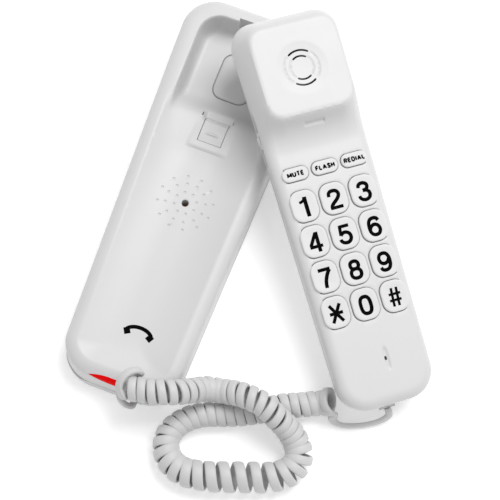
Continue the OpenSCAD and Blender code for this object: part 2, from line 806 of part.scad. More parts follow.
module key_form(col, row, l, r) color("white") in_hand() {
    key_hole(col, row, l, 0, under_face - 0.1, key_proud, r);
    key_hole(col, row, l, 0.9, under_face - flange_t, under_face, r);
    key_hole(col, row, l, -1.6, key_foot, under_face - flange_t + 0.1, r - 0.4 > 1.8 ? r : 1.7 + 0.2);
}

module digit_key(i) key_form(i % 3, row_y(i), key_len, key_r);

module function_key(i) key_form(i, fn_y, fn_len, fn_len / 2 - 0.1);

module receiver() color("dimgray") in_hand()
    translate([0, ear_mid, ear_h - hs_wall - 1]) mirror([0, 0, 1]) {
        cylinder(r = receiver_r, h = 3.5);
        cylinder(r = receiver_r - 4, h = 7);
    }

module receiver_gasket() color("black") in_hand()
    translate([0, ear_mid, ear_h - hs_wall - 1]) difference() {
        cylinder(r = receiver_r, h = 1);
        translate([0, 0, -1]) cylinder(r = receiver_r - 3.5, h = 3);
    }

module microphone() color("silver") in_hand()
    translate([0, mic_y, under_face - 5.4]) cylinder(r = 4.85, h = 4.2);

module microphone_boot() color("dimgray") in_hand()
    translate([0, mic_y, under_face - 6.2]) difference() {
        cylinder(r = 6.2, h = 6.2);
        translate([0, 0, 0.8]) cylinder(r = 4.9, h = 4.25);
        cylinder(r = 1.2, h = 9);
    }

module cord_jack_handset() color("gray") in_hand()
    translate([0, hs_wall + 0.3, hs_jack_z - socket_h / 2 - 1.2]) cord_jack();

module volume_slider() color("whitesmoke") in_hand() {
    side = hs_side(slider_y);
    block([0.35 - side, slider_y - knob_len / 2, slider_z - knob_h / 2],
        [groove_floor - 0.2 - side, slider_y + knob_len / 2, slider_z + knob_h / 2]);
    block([-side - 0.5, slider_y - 2, slider_z - knob_h / 2],
        [0.4 - side, slider_y + 2, slider_z + knob_h / 2]);
    block([0.9 - side, slider_y - 1.5, slider_z - 0.8], [5 - side, slider_y + 1.5, slider_z + 0.8]);
}

module volume_switch() color("dimgray") in_hand() {
    side = hs_side(slider_y);
    half = slider_travel + 2.5;
    block([5.3 - side, slider_y - half, slider_z - 3], [10 - side, slider_y + half, slider_z + 2]);
}

module handset_weight() color("slategray") in_hand()
    block([-8, 69.2, hs_wall - hs_t], [8, 121.2, hs_wall - hs_t + 4.5]);

// ---- Curly cord ----

function coil_r(i, n) = (coil_d + (coil_front_d - coil_d)
    * pow(sin(180 * max(0, min(1, (i / n - 0.36) / 0.44))), 2)) / 2;

module cord_coil() color("white") {
    path = smooth(COIL, 2);
    n = len(path) - 1;
    tube(path, [for (i = [0:n]) coil_r(i, n)], 12);
}

module cord_tail_base() color("white") {
    path = smooth(TAIL_BASE, 3);
    tube(path, [for (p = path) cord_d / 2], 10, [0, -1, 0], unit(smooth(COIL, 2)[1] - COIL[0]));
}

module cord_tail_handset() color("white") {
    path = smooth(concat(TAIL_HANDSET, [hand_point([0, -plug_out, hs_jack_z])]), 3);
    c = smooth(COIL, 2);
    along = hand_point([0, 1, 0]) - hs_place;
    tube(path, [for (p = path) cord_d / 2], 10, unit(c[len(c) - 1] - c[len(c) - 2]), along);
}

// A four-way cord plug: its outer face at y = 0, its nose pointing along +y
module cord_plug() {
    block([-plug_w / 2, 0, 0], [plug_w / 2, 13, plug_h]);
    block([-1.5, 3, plug_h - 0.1], [1.5, 12, plug_h + 0.25]);
}

module plug_base() color("lightcyan")
    translate([jack_x, -base_low - 1.1, board_z + board_t + 1.2 + plug_gap]) cord_plug();

module plug_handset() color("lightcyan") in_hand()
    translate([0, -plug_out, hs_jack_z - plug_h / 2]) cord_plug();

base_front_shell();
base_back_cover();
base_screws();
grille_screw();
base_pads();
base_board();
base_board_screws();
jack_board();
cord_jack_base();
line_jack();
ringer();
ring_lens();
ring_led();
hook_button();
hook_spring();
hook_switch();
hook_board();
wall_hook_tab();
handset_front_shell();
handset_back_shell();
handset_screws();
handset_board();
handset_board_screws();
keypad_mat();
receiver();
receiver_gasket();
microphone();
microphone_boot();
cord_jack_handset();
volume_slider();
volume_switch();
handset_weight();
for (i = [0:11])
    digit_key(i);
for (i = [0:2])
    function_key(i);
cord_coil();
cord_tail_base();
cord_tail_handset();
plug_base();
plug_handset();
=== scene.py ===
"""Slimline wall telephone: a wall base, its handset and the curly cord between them.

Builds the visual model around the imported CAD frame. Each operator makes one piece
or one group of like pieces; main() runs them in order.
"""
import math

import bmesh
import bpy
import numpy as np
from bpy.props import FloatProperty, FloatVectorProperty, PointerProperty
from mathutils import Matrix, Vector
from mathutils.geometry import delaunay_2d_cdt


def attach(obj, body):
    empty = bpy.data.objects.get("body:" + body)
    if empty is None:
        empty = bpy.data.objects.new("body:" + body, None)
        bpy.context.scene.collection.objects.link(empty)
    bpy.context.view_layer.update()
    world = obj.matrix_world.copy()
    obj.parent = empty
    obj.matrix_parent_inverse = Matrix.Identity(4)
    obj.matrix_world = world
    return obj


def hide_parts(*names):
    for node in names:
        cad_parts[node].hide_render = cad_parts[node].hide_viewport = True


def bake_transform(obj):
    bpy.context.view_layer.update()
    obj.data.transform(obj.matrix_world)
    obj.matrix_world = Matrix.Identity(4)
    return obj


bl_info = {
    "name": "Slimline Wall Telephone",
    "version": (1, 0, 0),
    "blender": (4, 5, 0),
    "location": "View3D > Sidebar > Telephone",
    "description": "Builds a slimline wall telephone with its handset and curly cord",
    "category": "Add Mesh",
}

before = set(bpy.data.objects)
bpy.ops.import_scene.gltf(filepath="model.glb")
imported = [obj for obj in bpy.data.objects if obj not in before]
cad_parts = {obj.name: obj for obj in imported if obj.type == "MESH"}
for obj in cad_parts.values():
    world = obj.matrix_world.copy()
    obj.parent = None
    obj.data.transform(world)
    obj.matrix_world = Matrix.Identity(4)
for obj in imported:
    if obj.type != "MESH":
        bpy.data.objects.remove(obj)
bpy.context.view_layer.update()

MM = 0.001

# Base, in millimetres: origin on its back face midway between the wall keyholes
BASE_LOW, BASE_HIGH = 112.0, 109.5
BASE_LOW_W, BASE_TOP_W = 65.8, 76.2
BASE_LOW_H, BASE_TOP_H = 22.5, 30.0
BASE_R = 19.0
BASE_LEAN = 2.8
PARTING_Z = 6.0
TROUGH_Z = 19.7
RECESS_W, RECESS_HIGH, RECESS_R, RECESS_Z = 55.0, 100.3, 12.0, 14.0
HOOK_W, HOOK_LEN, HOOK_Y, HOOK_R, HOOK_GAP = 21.0, 27.0, 73.5, 6.0, 0.35
TAB_W, TAB_LEN, TAB_LOW, TAB_GAP = 13.4, 13.8, 31.5, 0.25
TAB_TOP, TAB_T = 21.1, 2.3
GRILLE_Y = -4.0
WELL_R, WELL_Z = 1.95, 9.5
GRILLE_RINGS = ((6.1, 8), (10.9, 12), (15.1, 12))
LENS_TOP_DROP = 1.3
JACK_X, JACK_HALF = 13.0, 4.0
SIGN_PLACE = (3.0, -78.0)
# Rows of the base's outer wall that the lens and the jack's mouth take, and how the lens narrows to its tips
LENS_ROWS, LENS_FOLD = (5, 9), 7
JACK_ROWS = (1, 3)
LENS_PINCH, LENS_TIP_FROM, LENS_TIP_LEN = 0.93, 4.0, 9.9

# Handset, in its own frame: microphone end at y = 0, face at z = 0
HS_LEN, HS_LOW_W, HS_TOP_W, HS_LOW_R, HS_TOP_R = 213.5, 53.0, 57.6, 16.0, 12.0
HS_T, HS_PART = 24.0, 12.0
HAND_PLACE = Vector((142.0, -68.0, 26.0))
HAND_TURN = (9.1, 8.0, 37.08)
EAR_MID, EAR_HALF, EAR_R, EAR_H = 181.1, 23.7, 8.0, 14.0
EAR_SLOTS = ((9.3, 1.05, 34), (6.2, 1.0, 33))  # radius, width, half the angle in degrees
CATCH_Y = 152.4
MIC_X, MIC_Y = 2.6, 24.0
KEY_W, KEY_LEN, KEY_R, KEY_DX, KEY_DY = 14.4, 16.8, 5.6, 16.5, 19.3
KEY_TOP_ROW, FN_Y, FN_LEN, FN_R = 111.9, 129.3, 7.2, 3.5
KEY_GAP, KEY_PROUD = 0.4, 1.3
DIGIT_DISH, WORD_DISH = 0.42, 0.05
SLIDER_Y, SLIDER_Z, GROOVE_HALF = 152.0, -8.0, 14.0

# Curly cord: the middle of its coil and its two tails, in millimetres
COIL_ROUTE = [(8.6, -110, 30.7), (12.5, -109.4, 30.8), (17, -108.4, 31), (22, -107.5, 31.2), (28, -105.5, 31),
              (34, -103, 29),
              (40, -99, 24), (47, -94, 17), (55, -92, 16), (63, -91, 20), (70, -91, 22.5),
              (78, -92, 22.5), (86, -95, 20), (94, -98, 14), (101, -103, 9.5), (105, -110, 8.6),
              (103, -118, 8.6), (96, -124, 8.6), (86, -128, 8.6), (75, -132, 8.6), (63, -136, 8.6),
              (51, -138, 8.6), (42, -135, 8.6), (37, -128, 8.4), (37, -120, 8), (42, -112, 7.6),
              (50, -106, 7.2), (60, -102, 7), (69, -98, 7), (78, -93, 7), (87, -87, 7), (96, -83, 7),
              (101.5, -80.2, 7), (106.4, -78, 7.4), (109.7, -76.5, 8.9), (111.6, -75.7, 10.5)]
TAIL_BASE_ROUTE = [(13, -113.1, 10), (12.8, -115.6, 11.2), (11, -116.6, 14.5), (8.4, -116.4, 18.5),
                   (6.4, -114.6, 22.6), (6.6, -110.5, 24.6), (8.9, -105, 25.4), (12.2, -101, 28),
                   (13.2, -99.8, 31.5), (10.9, -100.3, 34.8), (7.6, -103.2, 36.4), (5.7, -107.6, 36),
                   (6, -112, 34)]
TAIL_HANDSET_ROUTE = [(114.4, -83.8, 6), (117.2, -84.8, 3.3), (121.6, -84.4, 2.6), (128.9, -81.6, 2.6),
                      (136.8, -76.9, 3.2), (141.4, -72.4, 5.8), (141.2, -70, 8.6), (139.6, -68.6, 9.9)]
COIL_END_R, COIL_FRONT_R, COIL_FLARE = 6.8, 8.4, 1.3
CORD_WIDTH, CORD_THICK = 4.6, 2.6

# Camera: lens in millimetres, height and turn in degrees, aim and distance in metres
CAMERA_LENS, CAMERA_UP, CAMERA_ROUND = 120.2, 76, 20.73
CAMERA_AIM, CAMERA_AWAY = (0.0416, -0.0149, 0.015), 0.9


# ---------------------------------------------------------------- settings

class TelephoneSizes(bpy.types.PropertyGroup):
    """Sizes that change how the mouldings look without changing their frame"""
    base_edge: FloatProperty(name="Base edge radius",
                             description="How far the base's front edge is rounded",
                             default=7.0 * MM, min=2 * MM, max=8 * MM, unit="LENGTH")
    handset_edge: FloatProperty(name="Handset edge radius",
                                description="How far the handset's front edge is rounded",
                                default=5.5 * MM, min=2 * MM, max=7 * MM, unit="LENGTH")
    wall: FloatProperty(name="Wall thickness", description="Thickness of the plastic mouldings",
                        default=2.2 * MM, min=1 * MM, max=3 * MM, unit="LENGTH")
    coil_pitch: FloatProperty(name="Cord pitch",
                              description="Distance between turns where the cord is closed",
                              default=4.95 * MM, min=4.7 * MM, max=8 * MM, unit="LENGTH")
    coil_open: FloatProperty(name="Cord opening",
                             description="How much wider the turns lie at the loop's front",
                             default=3.1 * MM, min=0, max=6 * MM, unit="LENGTH")


class TelephoneColours(bpy.types.PropertyGroup):
    """Colours of the telephone's finishes"""
    shell: FloatVectorProperty(name="Shell", description="Colour of the moulded shells", subtype="COLOR",
                               size=3, min=0, max=1, default=(0.60, 0.60, 0.605))
    key: FloatVectorProperty(name="Keys", description="Colour of the keys", subtype="COLOR",
                             size=3, min=0, max=1, default=(0.64, 0.64, 0.64))
    ink: FloatVectorProperty(name="Printing", description="Colour of the printed figures", subtype="COLOR",
                             size=3, min=0, max=1, default=(0.002, 0.002, 0.002))
    lens: FloatVectorProperty(name="Ring lamp", description="Colour of the ring lamp's lens", subtype="COLOR",
                              size=3, min=0, max=1, default=(0.80, 0.001, 0.001))
    cord: FloatVectorProperty(name="Cord", description="Colour of the curly cord", subtype="COLOR",
                              size=3, min=0, max=1, default=(0.56, 0.56, 0.56))


class TelephoneStage(bpy.types.PropertyGroup):
    """Light and floor around the telephone"""
    floor: FloatVectorProperty(name="Floor", description="Colour of the floor", subtype="COLOR",
                               size=3, min=0, max=1, default=(0.93, 0.93, 0.93))
    key_power: FloatProperty(name="Key light", description="Power of the large soft light", default=12.0,
                             min=0, max=200, unit="POWER")
    glow: FloatProperty(name="Floor glow", description="Light that the floor itself gives off",
                        default=0.26, min=0, max=1)
    sky: FloatProperty(name="Room light", description="Brightness of the even light all round", default=0.66,
                       min=0, max=5)


# ---------------------------------------------------------------- plan shapes

def ease(t):
    """A smooth step from 0 to 1."""
    t = np.clip(t, 0.0, 1.0)
    return t * t * (3 - 2 * t)


def along_curve(x, knots, values):
    """A smooth curve through given knots, level beyond its ends."""
    knots, values = np.asarray(knots, float), np.asarray(values, float)
    slopes = np.gradient(values, knots)
    slopes[0] = slopes[-1] = 0.0
    x = np.clip(x, knots[0], knots[-1])
    k = np.clip(np.searchsorted(knots, x, side="right") - 1, 0, len(knots) - 2)
    h = knots[k + 1] - knots[k]
    t = (x - knots[k]) / h
    return ((2 * t ** 3 - 3 * t ** 2 + 1) * values[k] + (t ** 3 - 2 * t ** 2 + t) * h * slopes[k]
            + (3 * t ** 2 - 2 * t ** 3) * values[k + 1] + (t ** 3 - t ** 2) * h * slopes[k + 1])


def through(points, steps):
    """A smooth route through given points, with that many steps from each to the next."""
    p = np.asarray(points, float)
    q = np.vstack([2 * p[0] - p[1], p, 2 * p[-1] - p[-2]])
    out = []
    for i in range(len(p) - 1):
        a, b, c, d = q[i:i + 4]
        for j in range(steps):
            t = j / steps
            out.append((2 * b + (c - a) * t + (2 * a - 5 * b + 4 * c - d) * t ** 2
                        + (3 * b - a - 3 * c + d) * t ** 3) / 2)
    return np.array(out + [p[-1]])


class Plate:
    """The plan of a moulding: a tapered plate with four round corners, pulled in at will.

    Every ring has the same number of points, so rings join into walls.
    """

    def __init__(self, w0, w1, y0, y1, r0, r1, low_x, side_y, top_x, corner=(9.4,)):
        self.size = (w0, w1, y0, y1, r0, r1)
        self.low_x, self.side_y, self.top_x = list(low_x), list(side_y), list(top_x)
        self.first = corner

    def ring(self, inset):
        w0, w1, y0, y1, r0, r1 = self.size
        c0 = np.array([w0 / 2 - r0, y0 + r0])
        c1 = np.array([w1 / 2 - r1, y1 - r1])
        r0, r1 = r0 - inset, r1 - inset
        d = c1 - c0
        turn = math.asin((r0 - r1) / math.hypot(*d)) - math.atan2(d[0], d[1])
        low = [0.0] + [math.radians(a) for a in self.first]
        rest = np.linspace(low[-1], math.pi / 2 + turn, 12)[1:]
        arc0 = np.array(low + list(rest)) - math.pi / 2
        arc1 = np.linspace(turn, math.pi / 2, 13)
        lower = c0 + r0 * np.stack([np.cos(arc0), np.sin(arc0)], 1)
        upper = c1 + r1 * np.stack([np.cos(arc1), np.sin(arc1)], 1)
        a, b = lower[-1], upper[0]
        side = np.array([a + (b - a) * (y - a[1]) / (b[1] - a[1]) for y in self.side_y])
        right = np.vstack([lower, side, upper])
        left = right[::-1] * [-1, 1]
        top = np.array([[x, y1 - inset] for x in self.top_x[::-1]])
        bottom = np.array([[x, y0 + inset] for x in self.low_x])
        return np.vstack([right, top, left, bottom])


def apart(points, ring):
    """How far each point is from a closed ring of points."""
    a, b = ring, np.roll(ring, -1, 0)
    d = b - a
    best = np.full(len(points), 1e9)
    for k in range(len(a)):
        w = points - a[k]
        t = np.clip(w @ d[k] / max(d[k] @ d[k], 1e-12), 0, 1)
        best = np.minimum(best, np.hypot(*(w - t[:, None] * d[k]).T))
    return best


def within(points, ring):
    """Which points are inside a closed ring of points."""
    x, y = points[:, 0], points[:, 1]
    inside = np.zeros(len(points), bool)
    a, b = ring, np.roll(ring, -1, 0)
    for (x0, y0), (x1, y1) in zip(a, b):
        if y0 != y1:
            inside ^= ((y0 > y) != (y1 > y)) & (x < (x1 - x0) * (y - y0) / (y1 - y0) + x0)
    return inside


def round_rect(w, length, r, cx=0.0, cy=0.0, corner=8, edge=2.0):
    """A rectangle with round corners, anticlockwise from its right side."""
    out = []
    for k, (sx, sy) in enumerate(((1, 1), (-1, 1), (-1, -1), (1, -1))):
        c = np.array([cx + sx * (w / 2 - r), cy + sy * (length / 2 - r)])
        for a in np.linspace(k * math.pi / 2, (k + 1) * math.pi / 2, corner + 1):
            out.append(c + r * np.array([math.cos(a), math.sin(a)]))
    return refined(np.array(out), edge)


def refined(ring, edge):
    """A closed ring with points added so that none of its edges is longer than that."""
    out = []
    for a, b in zip(ring, np.roll(ring, -1, 0)):
        n = max(1, math.ceil(math.hypot(*(b - a)) / edge))
        out += [a + (b - a) * k / n for k in range(n)]
    return np.array(out)


def box_distance(p, half_w, half_l, r, cx=0.0, cy=0.0):
    """Distance outside a rectangle with round corners, negative inside it."""
    q = np.abs(p - [cx, cy]) - [half_w - r, half_l - r]
    return np.hypot(*np.maximum(q, 0).T) + np.minimum(q.max(1), 0) - r


def circle(r, cx, cy, n):
    """A ring of n points."""
    a = np.arange(n) * 2 * math.pi / n
    return np.stack([cx + r * np.cos(a), cy + r * np.sin(a)], 1)


def arc_slot(r, width, middle, half, cx, cy):
    """The outline of a curved slot with round ends; middle and half are angles in degrees."""
    a0, a1 = math.radians(middle - half), math.radians(middle + half)
    outer = [(r + width / 2) * np.array([math.cos(a), math.sin(a)]) for a in np.linspace(a0, a1, 14)]
    inner = [(r - width / 2) * np.array([math.cos(a), math.sin(a)]) for a in np.linspace(a1, a0, 14)]

    def end(a, start):
        c = r * np.array([math.cos(a), math.sin(a)])
        return [c + width / 2 * np.array([math.cos(start + t), math.sin(start + t)])
                for t in np.linspace(0, math.pi, 6)[1:-1]]
    return np.array(outer + end(a1, a1) + inner + end(a0, a0 + math.pi)) + [cx, cy]


# ---------------------------------------------------------------- meshes

def hand_matrix():
    """The handset's own frame to the base's frame, in millimetres."""
    rx, ry, rz = (math.radians(a) for a in HAND_TURN)
    return (Matrix.Translation(HAND_PLACE) @ Matrix.Rotation(rz, 4, "Z") @ Matrix.Rotation(rx, 4, "X")
            @ Matrix.Rotation(ry, 4, "Y"))


class Sheet:
    """Points, faces and a material number for each face, gathered before they become a mesh."""

    def __init__(self):
        self.points, self.faces, self.finish = [], [], []

    def add(self, points, faces, finish=0):
        start = len(self.points)
        self.points += [tuple(p) for p in points]
        self.faces += [tuple(start + i for i in f) for f in faces]
        self.finish += [finish] * len(faces)

    def loft(self, rings, closed=True, cap_start=False, cap_end=False, finish=0, keep=None):
        """Walls between rings of equally many points."""
        n = len(rings[0])
        pts = np.vstack(rings)
        faces = []
        for i in range(len(rings) - 1):
            for j in range(n if closed else n - 1):
                k = (j + 1) % n
                f = (i * n + j, i * n + k, (i + 1) * n + k, (i + 1) * n + j)
                if keep is None or keep(pts[list(f)].mean(0), i):
                    faces.append(f)
        if cap_start:
            faces.append(tuple(range(n - 1, -1, -1)))
        if cap_end:
            faces.append(tuple((len(rings) - 1) * n + j for j in range(n)))
        self.add(pts, faces, finish)


def plan_sheet(outer, holes, extra, height, near=0.22):
    """Triangles over a plan with holes, lifted to a height; the rings' own points are kept."""
    rings = [outer] + holes
    pts = [tuple(p) for ring in rings for p in ring]
    edges, start = [], 0
    for ring in rings:
        n = len(ring)
        edges += [(start + i, start + (i + 1) % n) for i in range(n)]
        start += n
    free = np.array(extra, float)
    ok = within(free, outer) & (apart(free, outer) > 0.3)
    for hole in holes:
        lo, hi = hole.min(0) - 1, hole.max(0) + 1
        close = ((free > lo) & (free < hi)).all(1)
        idx = np.nonzero(close)[0]
        if len(idx):
            ok[idx] &= ~within(free[idx], hole) & (apart(free[idx], hole) > near)
    free = free[ok]
    _, first = np.unique(np.round(free / near).astype(int), axis=0, return_index=True)
    free = free[np.sort(first)]
    pts += [tuple(p) for p in free]
    verts, _, faces, *_ = delaunay_2d_cdt([Vector(p) for p in pts], edges, [], 0, 1e-6)
    v = np.array([tuple(p) for p in verts], float)
    f = np.array([list(t) for t in faces if len(t) == 3], int)
    mid = v[f].mean(1)
    inside = within(mid, outer)
    for hole in holes:
        lo, hi = hole.min(0), hole.max(0)
        idx = np.nonzero(((mid > lo) & (mid < hi)).all(1))[0]
        if len(idx):
            inside[idx] &= ~within(mid[idx], hole)
    f = f[inside]
    e1, e2 = v[f[:, 1]] - v[f[:, 0]], v[f[:, 2]] - v[f[:, 0]]
    area = e1[:, 0] * e2[:, 1] - e1[:, 1] * e2[:, 0]
    f[area < 0] = f[area < 0][:, ::-1]
    return np.column_stack([v, height(v)]), f[np.abs(area) > 1e-7]


def grid_points(x0, x1, y0, y1, step):
    """Staggered rows of points over a rectangle."""
    out = []
    for k, y in enumerate(np.arange(y0, y1 + step * 0.1, step * 0.87)):
        out += [(x, y) for x in np.arange(x0 + (k % 2) * step / 2, x1 + step * 0.1, step)]
    return out


def as_mesh(sheet, name, transform=None, merge=0.02):
    """A Blender mesh in metres from a sheet in millimetres, with doubled points joined."""
    pts = np.array(sheet.points, float)
    if transform is not None:
        m = np.array(transform)
        pts = pts @ m[:3, :3].T + m[:3, 3]
    mesh = bpy.data.meshes.new(name)
    mesh.from_pydata((pts * MM).tolist(), [], sheet.faces)
    mesh.polygons.foreach_set("material_index", sheet.finish)
    if merge:
        bm = bmesh.new()
        bm.from_mesh(mesh)
        bmesh.ops.remove_doubles(bm, verts=bm.verts, dist=merge * MM)
        bmesh.ops.dissolve_degenerate(bm, edges=bm.edges, dist=1e-7)
        bm.to_mesh(mesh)
        bm.free()
    mesh.validate()
    return mesh


def make_piece(name, mesh, body, finishes, stands_for=(), sharp=38.0, thick=0.0):
    """Puts a mesh in the scene as a named piece of the telephone, riding on its CAD body if it has one."""
    obj = bpy.data.objects.new(name, mesh)
    bpy.context.scene.collection.objects.link(obj)
    if thick:
        wall = obj.modifiers.new("wall", "SOLIDIFY")
        wall.thickness, wall.offset = thick, -1.0
        wall.use_even_offset = wall.use_quality_normals = True
        wall.thickness_clamp = 0.0
        solid = bpy.data.meshes.new_from_object(obj.evaluated_get(bpy.context.evaluated_depsgraph_get()))
        obj.modifiers.clear()
        obj.data = solid
        bpy.data.meshes.remove(mesh)
        mesh = solid
        mesh.name = name
    for finish in finishes:
        mesh.materials.append(bpy.data.materials[finish])
    mesh.shade_smooth()
    mesh.set_sharp_from_angle(angle=math.radians(sharp))
    if body:
        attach(obj, body)
    if stands_for:
        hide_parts(*stands_for)
    return obj


# ---------------------------------------------------------------- finishes

def node_group(name, inputs, outputs):
    """An empty shader node group with named float inputs and typed outputs."""
    group = bpy.data.node_groups.new(name, "ShaderNodeTree")
    for label, default in inputs:
        socket = group.interface.new_socket(label, in_out="INPUT", socket_type="NodeSocketFloat")
        socket.default_value = default
    for label, kind in outputs:
        group.interface.new_socket(label, in_out="OUTPUT", socket_type=kind)
    return group, group.nodes.new("NodeGroupInput"), group.nodes.new("NodeGroupOutput")


def moulded_grain():
    """Fine spark-eroded grain of moulded plastic, with slow flow marks."""
    group, given, out = node_group("moulded_grain", [("Scale", 1.0), ("Flow", 1.0)],
                                   [("Height", "NodeSocketFloat"), ("Mottle", "NodeSocketFloat")])
    n, link = group.nodes.new, group.links.new
    place = n("ShaderNodeTexCoord")
    fine = n("ShaderNodeTexNoise")
    fine.inputs["Detail"].default_value = 3.0
    fine.inputs["Roughness"].default_value = 0.6
    size = n("ShaderNodeMath")
    size.operation = "MULTIPLY"
    size.inputs[1].default_value = 1500.0
    link(given.outputs["Scale"], size.inputs[0])
    link(place.outputs["Object"], fine.inputs["Vector"])
    link(size.outputs[0], fine.inputs["Scale"])
    slow = n("ShaderNodeTexNoise")
    slow.inputs["Scale"].default_value = 34.0
    slow.inputs["Detail"].default_value = 4.0
    link(place.outputs["Object"], slow.inputs["Vector"])
    flow = n("ShaderNodeMath")
    flow.operation = "MULTIPLY"
    link(slow.outputs["Fac"], flow.inputs[0])
    link(given.outputs["Flow"], flow.inputs[1])
    link(fine.outputs["Fac"], out.inputs["Height"])
    link(flow.outputs[0], out.inputs["Mottle"])
    return group


def handling_dust():
    """Faint dust and finger marks: a mask between 0 and 1."""
    group, given, out = node_group("handling_dust", [("Amount", 0.5), ("Scale", 1.0)],
                                   [("Mask", "NodeSocketFloat")])
    n, link = group.nodes.new, group.links.new
    place = n("ShaderNodeTexCoord")
    size = n("ShaderNodeMath")
    size.operation = "MULTIPLY"
    size.inputs[1].default_value = 90.0
    link(given.outputs["Scale"], size.inputs[0])
    smear = n("ShaderNodeTexNoise")
    smear.inputs["Detail"].default_value = 6.0
    smear.inputs["Distortion"].default_value = 0.6
    link(place.outputs["Object"], smear.inputs["Vector"])
    link(size.outputs[0], smear.inputs["Scale"])
    shape = n("ShaderNodeMapRange")
    shape.inputs["From Min"].default_value = 0.45
    shape.inputs["From Max"].default_value = 0.8
    link(smear.outputs["Fac"], shape.inputs["Value"])
    scaled = n("ShaderNodeMath")
    scaled.operation = "MULTIPLY"
    link(shape.outputs["Result"], scaled.inputs[0])
    link(given.outputs["Amount"], scaled.inputs[1])
    link(scaled.outputs[0], out.inputs["Mask"])
    return group


def plastic(name, colour, rough, grain=1.0, bump=0.05, spread=0.03, metal=0.0, dust=0.3, **sockets):
    """A material with grain, slow colour variation and faint dust."""
    mat = bpy.data.materials.new(name)
    mat.use_nodes = True
    tree = mat.node_tree
    n, link = tree.nodes.new, tree.links.new
    shader = tree.nodes["Principled BSDF"]
    shader.inputs["Metallic"].default_value = metal
    for key, value in sockets.items():
        shader.inputs[key.replace("_", " ")].default_value = value
    grained = n("ShaderNodeGroup")
    grained.node_tree = bpy.data.node_groups["moulded_grain"]
    grained.inputs["Scale"].default_value = grain
    dusty = n("ShaderNodeGroup")
    dusty.node_tree = bpy.data.node_groups["handling_dust"]
    dusty.inputs["Amount"].default_value = dust
    tint = n("ShaderNodeMix")
    tint.data_type = "RGBA"
    base = list(colour)[:3]
    tint.inputs[6].default_value = [max(0.0, c * (1 - spread)) for c in base] + [1]
    tint.inputs[7].default_value = [min(1.0, c * (1 + spread)) for c in base] + [1]
    link(grained.outputs["Mottle"], tint.inputs["Factor"])
    link(tint.outputs[2], shader.inputs["Base Color"])
    sheen = n("ShaderNodeMapRange")
    sheen.inputs["To Min"].default_value = rough
    sheen.inputs["To Max"].default_value = min(1.0, rough + 0.14)
    link(dusty.outputs["Mask"], sheen.inputs["Value"])
    link(sheen.outputs["Result"], shader.inputs["Roughness"])
    relief = n("ShaderNodeBump")
    relief.inputs["Strength"].default_value = bump
    relief.inputs["Distance"].default_value = 0.0002
    link(grained.outputs["Height"], relief.inputs["Height"])
    link(relief.outputs["Normal"], shader.inputs["Normal"])
    return mat


class TELEPHONE_OT_finishes(bpy.types.Operator):
    """Make the telephone's finishes"""
    bl_idname = "telephone.finishes"
    bl_label = "Finishes"

    def execute(self, context):
        c = context.scene.telephone_colours
        moulded_grain()
        handling_dust()
        plastic("shell_plastic", c.shell, 0.42, bump=0.10, spread=0.012)
        plastic("keycap_finish", c.key, 0.5, bump=0.06, spread=0.012, Specular_IOR_Level=0.35)
        plastic("printing_ink", c.ink, 0.7, bump=0.1, spread=0.2, Specular_IOR_Level=0.02)
        plastic("lens_plastic", c.lens, 0.25, bump=0.03, spread=0.1, Specular_IOR_Level=0.05)
        plastic("lamp_glass", (0.75, 0.05, 0.04), 0.15, bump=0.02, spread=0.1)
        plastic("cord_vinyl", c.cord, 0.5, grain=0.7, bump=0.16, spread=0.03)
        plastic("jack_plastic", (0.5, 0.5, 0.48), 0.4)
        plastic("plug_clear", (0.78, 0.8, 0.8), 0.12, bump=0.02, spread=0.02, Transmission_Weight=0.55)
        plastic("steel", (0.56, 0.56, 0.57), 0.28, grain=0.5, bump=0.12, metal=1.0)
        plastic("brass", (0.30, 0.15, 0.07), 0.35, grain=0.5, bump=0.15, spread=0.25, metal=1.0)
        plastic("pad_rubber", (0.05, 0.05, 0.05), 0.8, grain=0.6, bump=0.4, spread=0.2)
        # Near-black rubber of the keypad mat, also laid on the keys' sides: painted shade that darkens the
        # gaps round the keys
        plastic("mat_rubber", (0.03, 0.03, 0.03), 0.8, grain=0.6, bump=0.3)
        plastic("circuit_board", (0.02, 0.16, 0.06), 0.35, grain=0.3, bump=0.25, spread=0.3)
        # Near-black for the dark capsules and switches; the receiver's near-black, seen through the earpiece
        # slots, is painted shade in the slots
        plastic("capsule_black", (0.004, 0.004, 0.004), 0.85, grain=0.6, bump=0.3, spread=0.2)
        plastic("capsule_metal", (0.5, 0.5, 0.5), 0.35, metal=1.0)
        return {"FINISHED"}


# ---------------------------------------------------------------- base

def rim_z(y):
    """Height of the base's front edge along its length."""
    return BASE_LOW_H + (BASE_TOP_H - BASE_LOW_H) * (y + BASE_LOW) / (BASE_LOW + BASE_HIGH)


def base_plate():
    """The base's plan."""
    low_x = [-10.5, -7, -3.5, 0, 3.5, 6.3, 9, 11.5]
    side_y = list(np.arange(-91, 89, 3.0))
    return Plate(BASE_LOW_W, BASE_TOP_W, -BASE_LOW, BASE_HIGH, BASE_R, BASE_R, low_x, side_y,
                 np.linspace(-17, 17, 13))


def leaned(p):
    """Pulls the lower end back towards the front, as its wall leans."""
    p = np.array(p, float)
    share = np.clip((-88 - p[:, 1]) / 16, 0, 1)
    p[:, 1] += BASE_LEAN * (p[:, 2] / BASE_LOW_H) * ease(share)
    return p


def recess_depth(p):
    """Distance inside the earpiece recess's side and top edges, negative outside them."""
    x, y = np.abs(p[:, 0]), p[:, 1]
    qx, qy = x - (RECESS_W / 2 - RECESS_R), y - (RECESS_HIGH - RECESS_R)
    return RECESS_R - np.where((qx > 0) & (qy > 0), np.hypot(qx, qy), np.maximum(qx, qy))


WALL_E = [-1.0, -0.4, 0.1, 0.6, 1.1, 1.8, 2.7, 3.8, 5.2]
WALL_SHARE = [0.0, 0.01, 0.07, 0.24, 0.48, 0.74, 0.91, 0.98, 1.0]


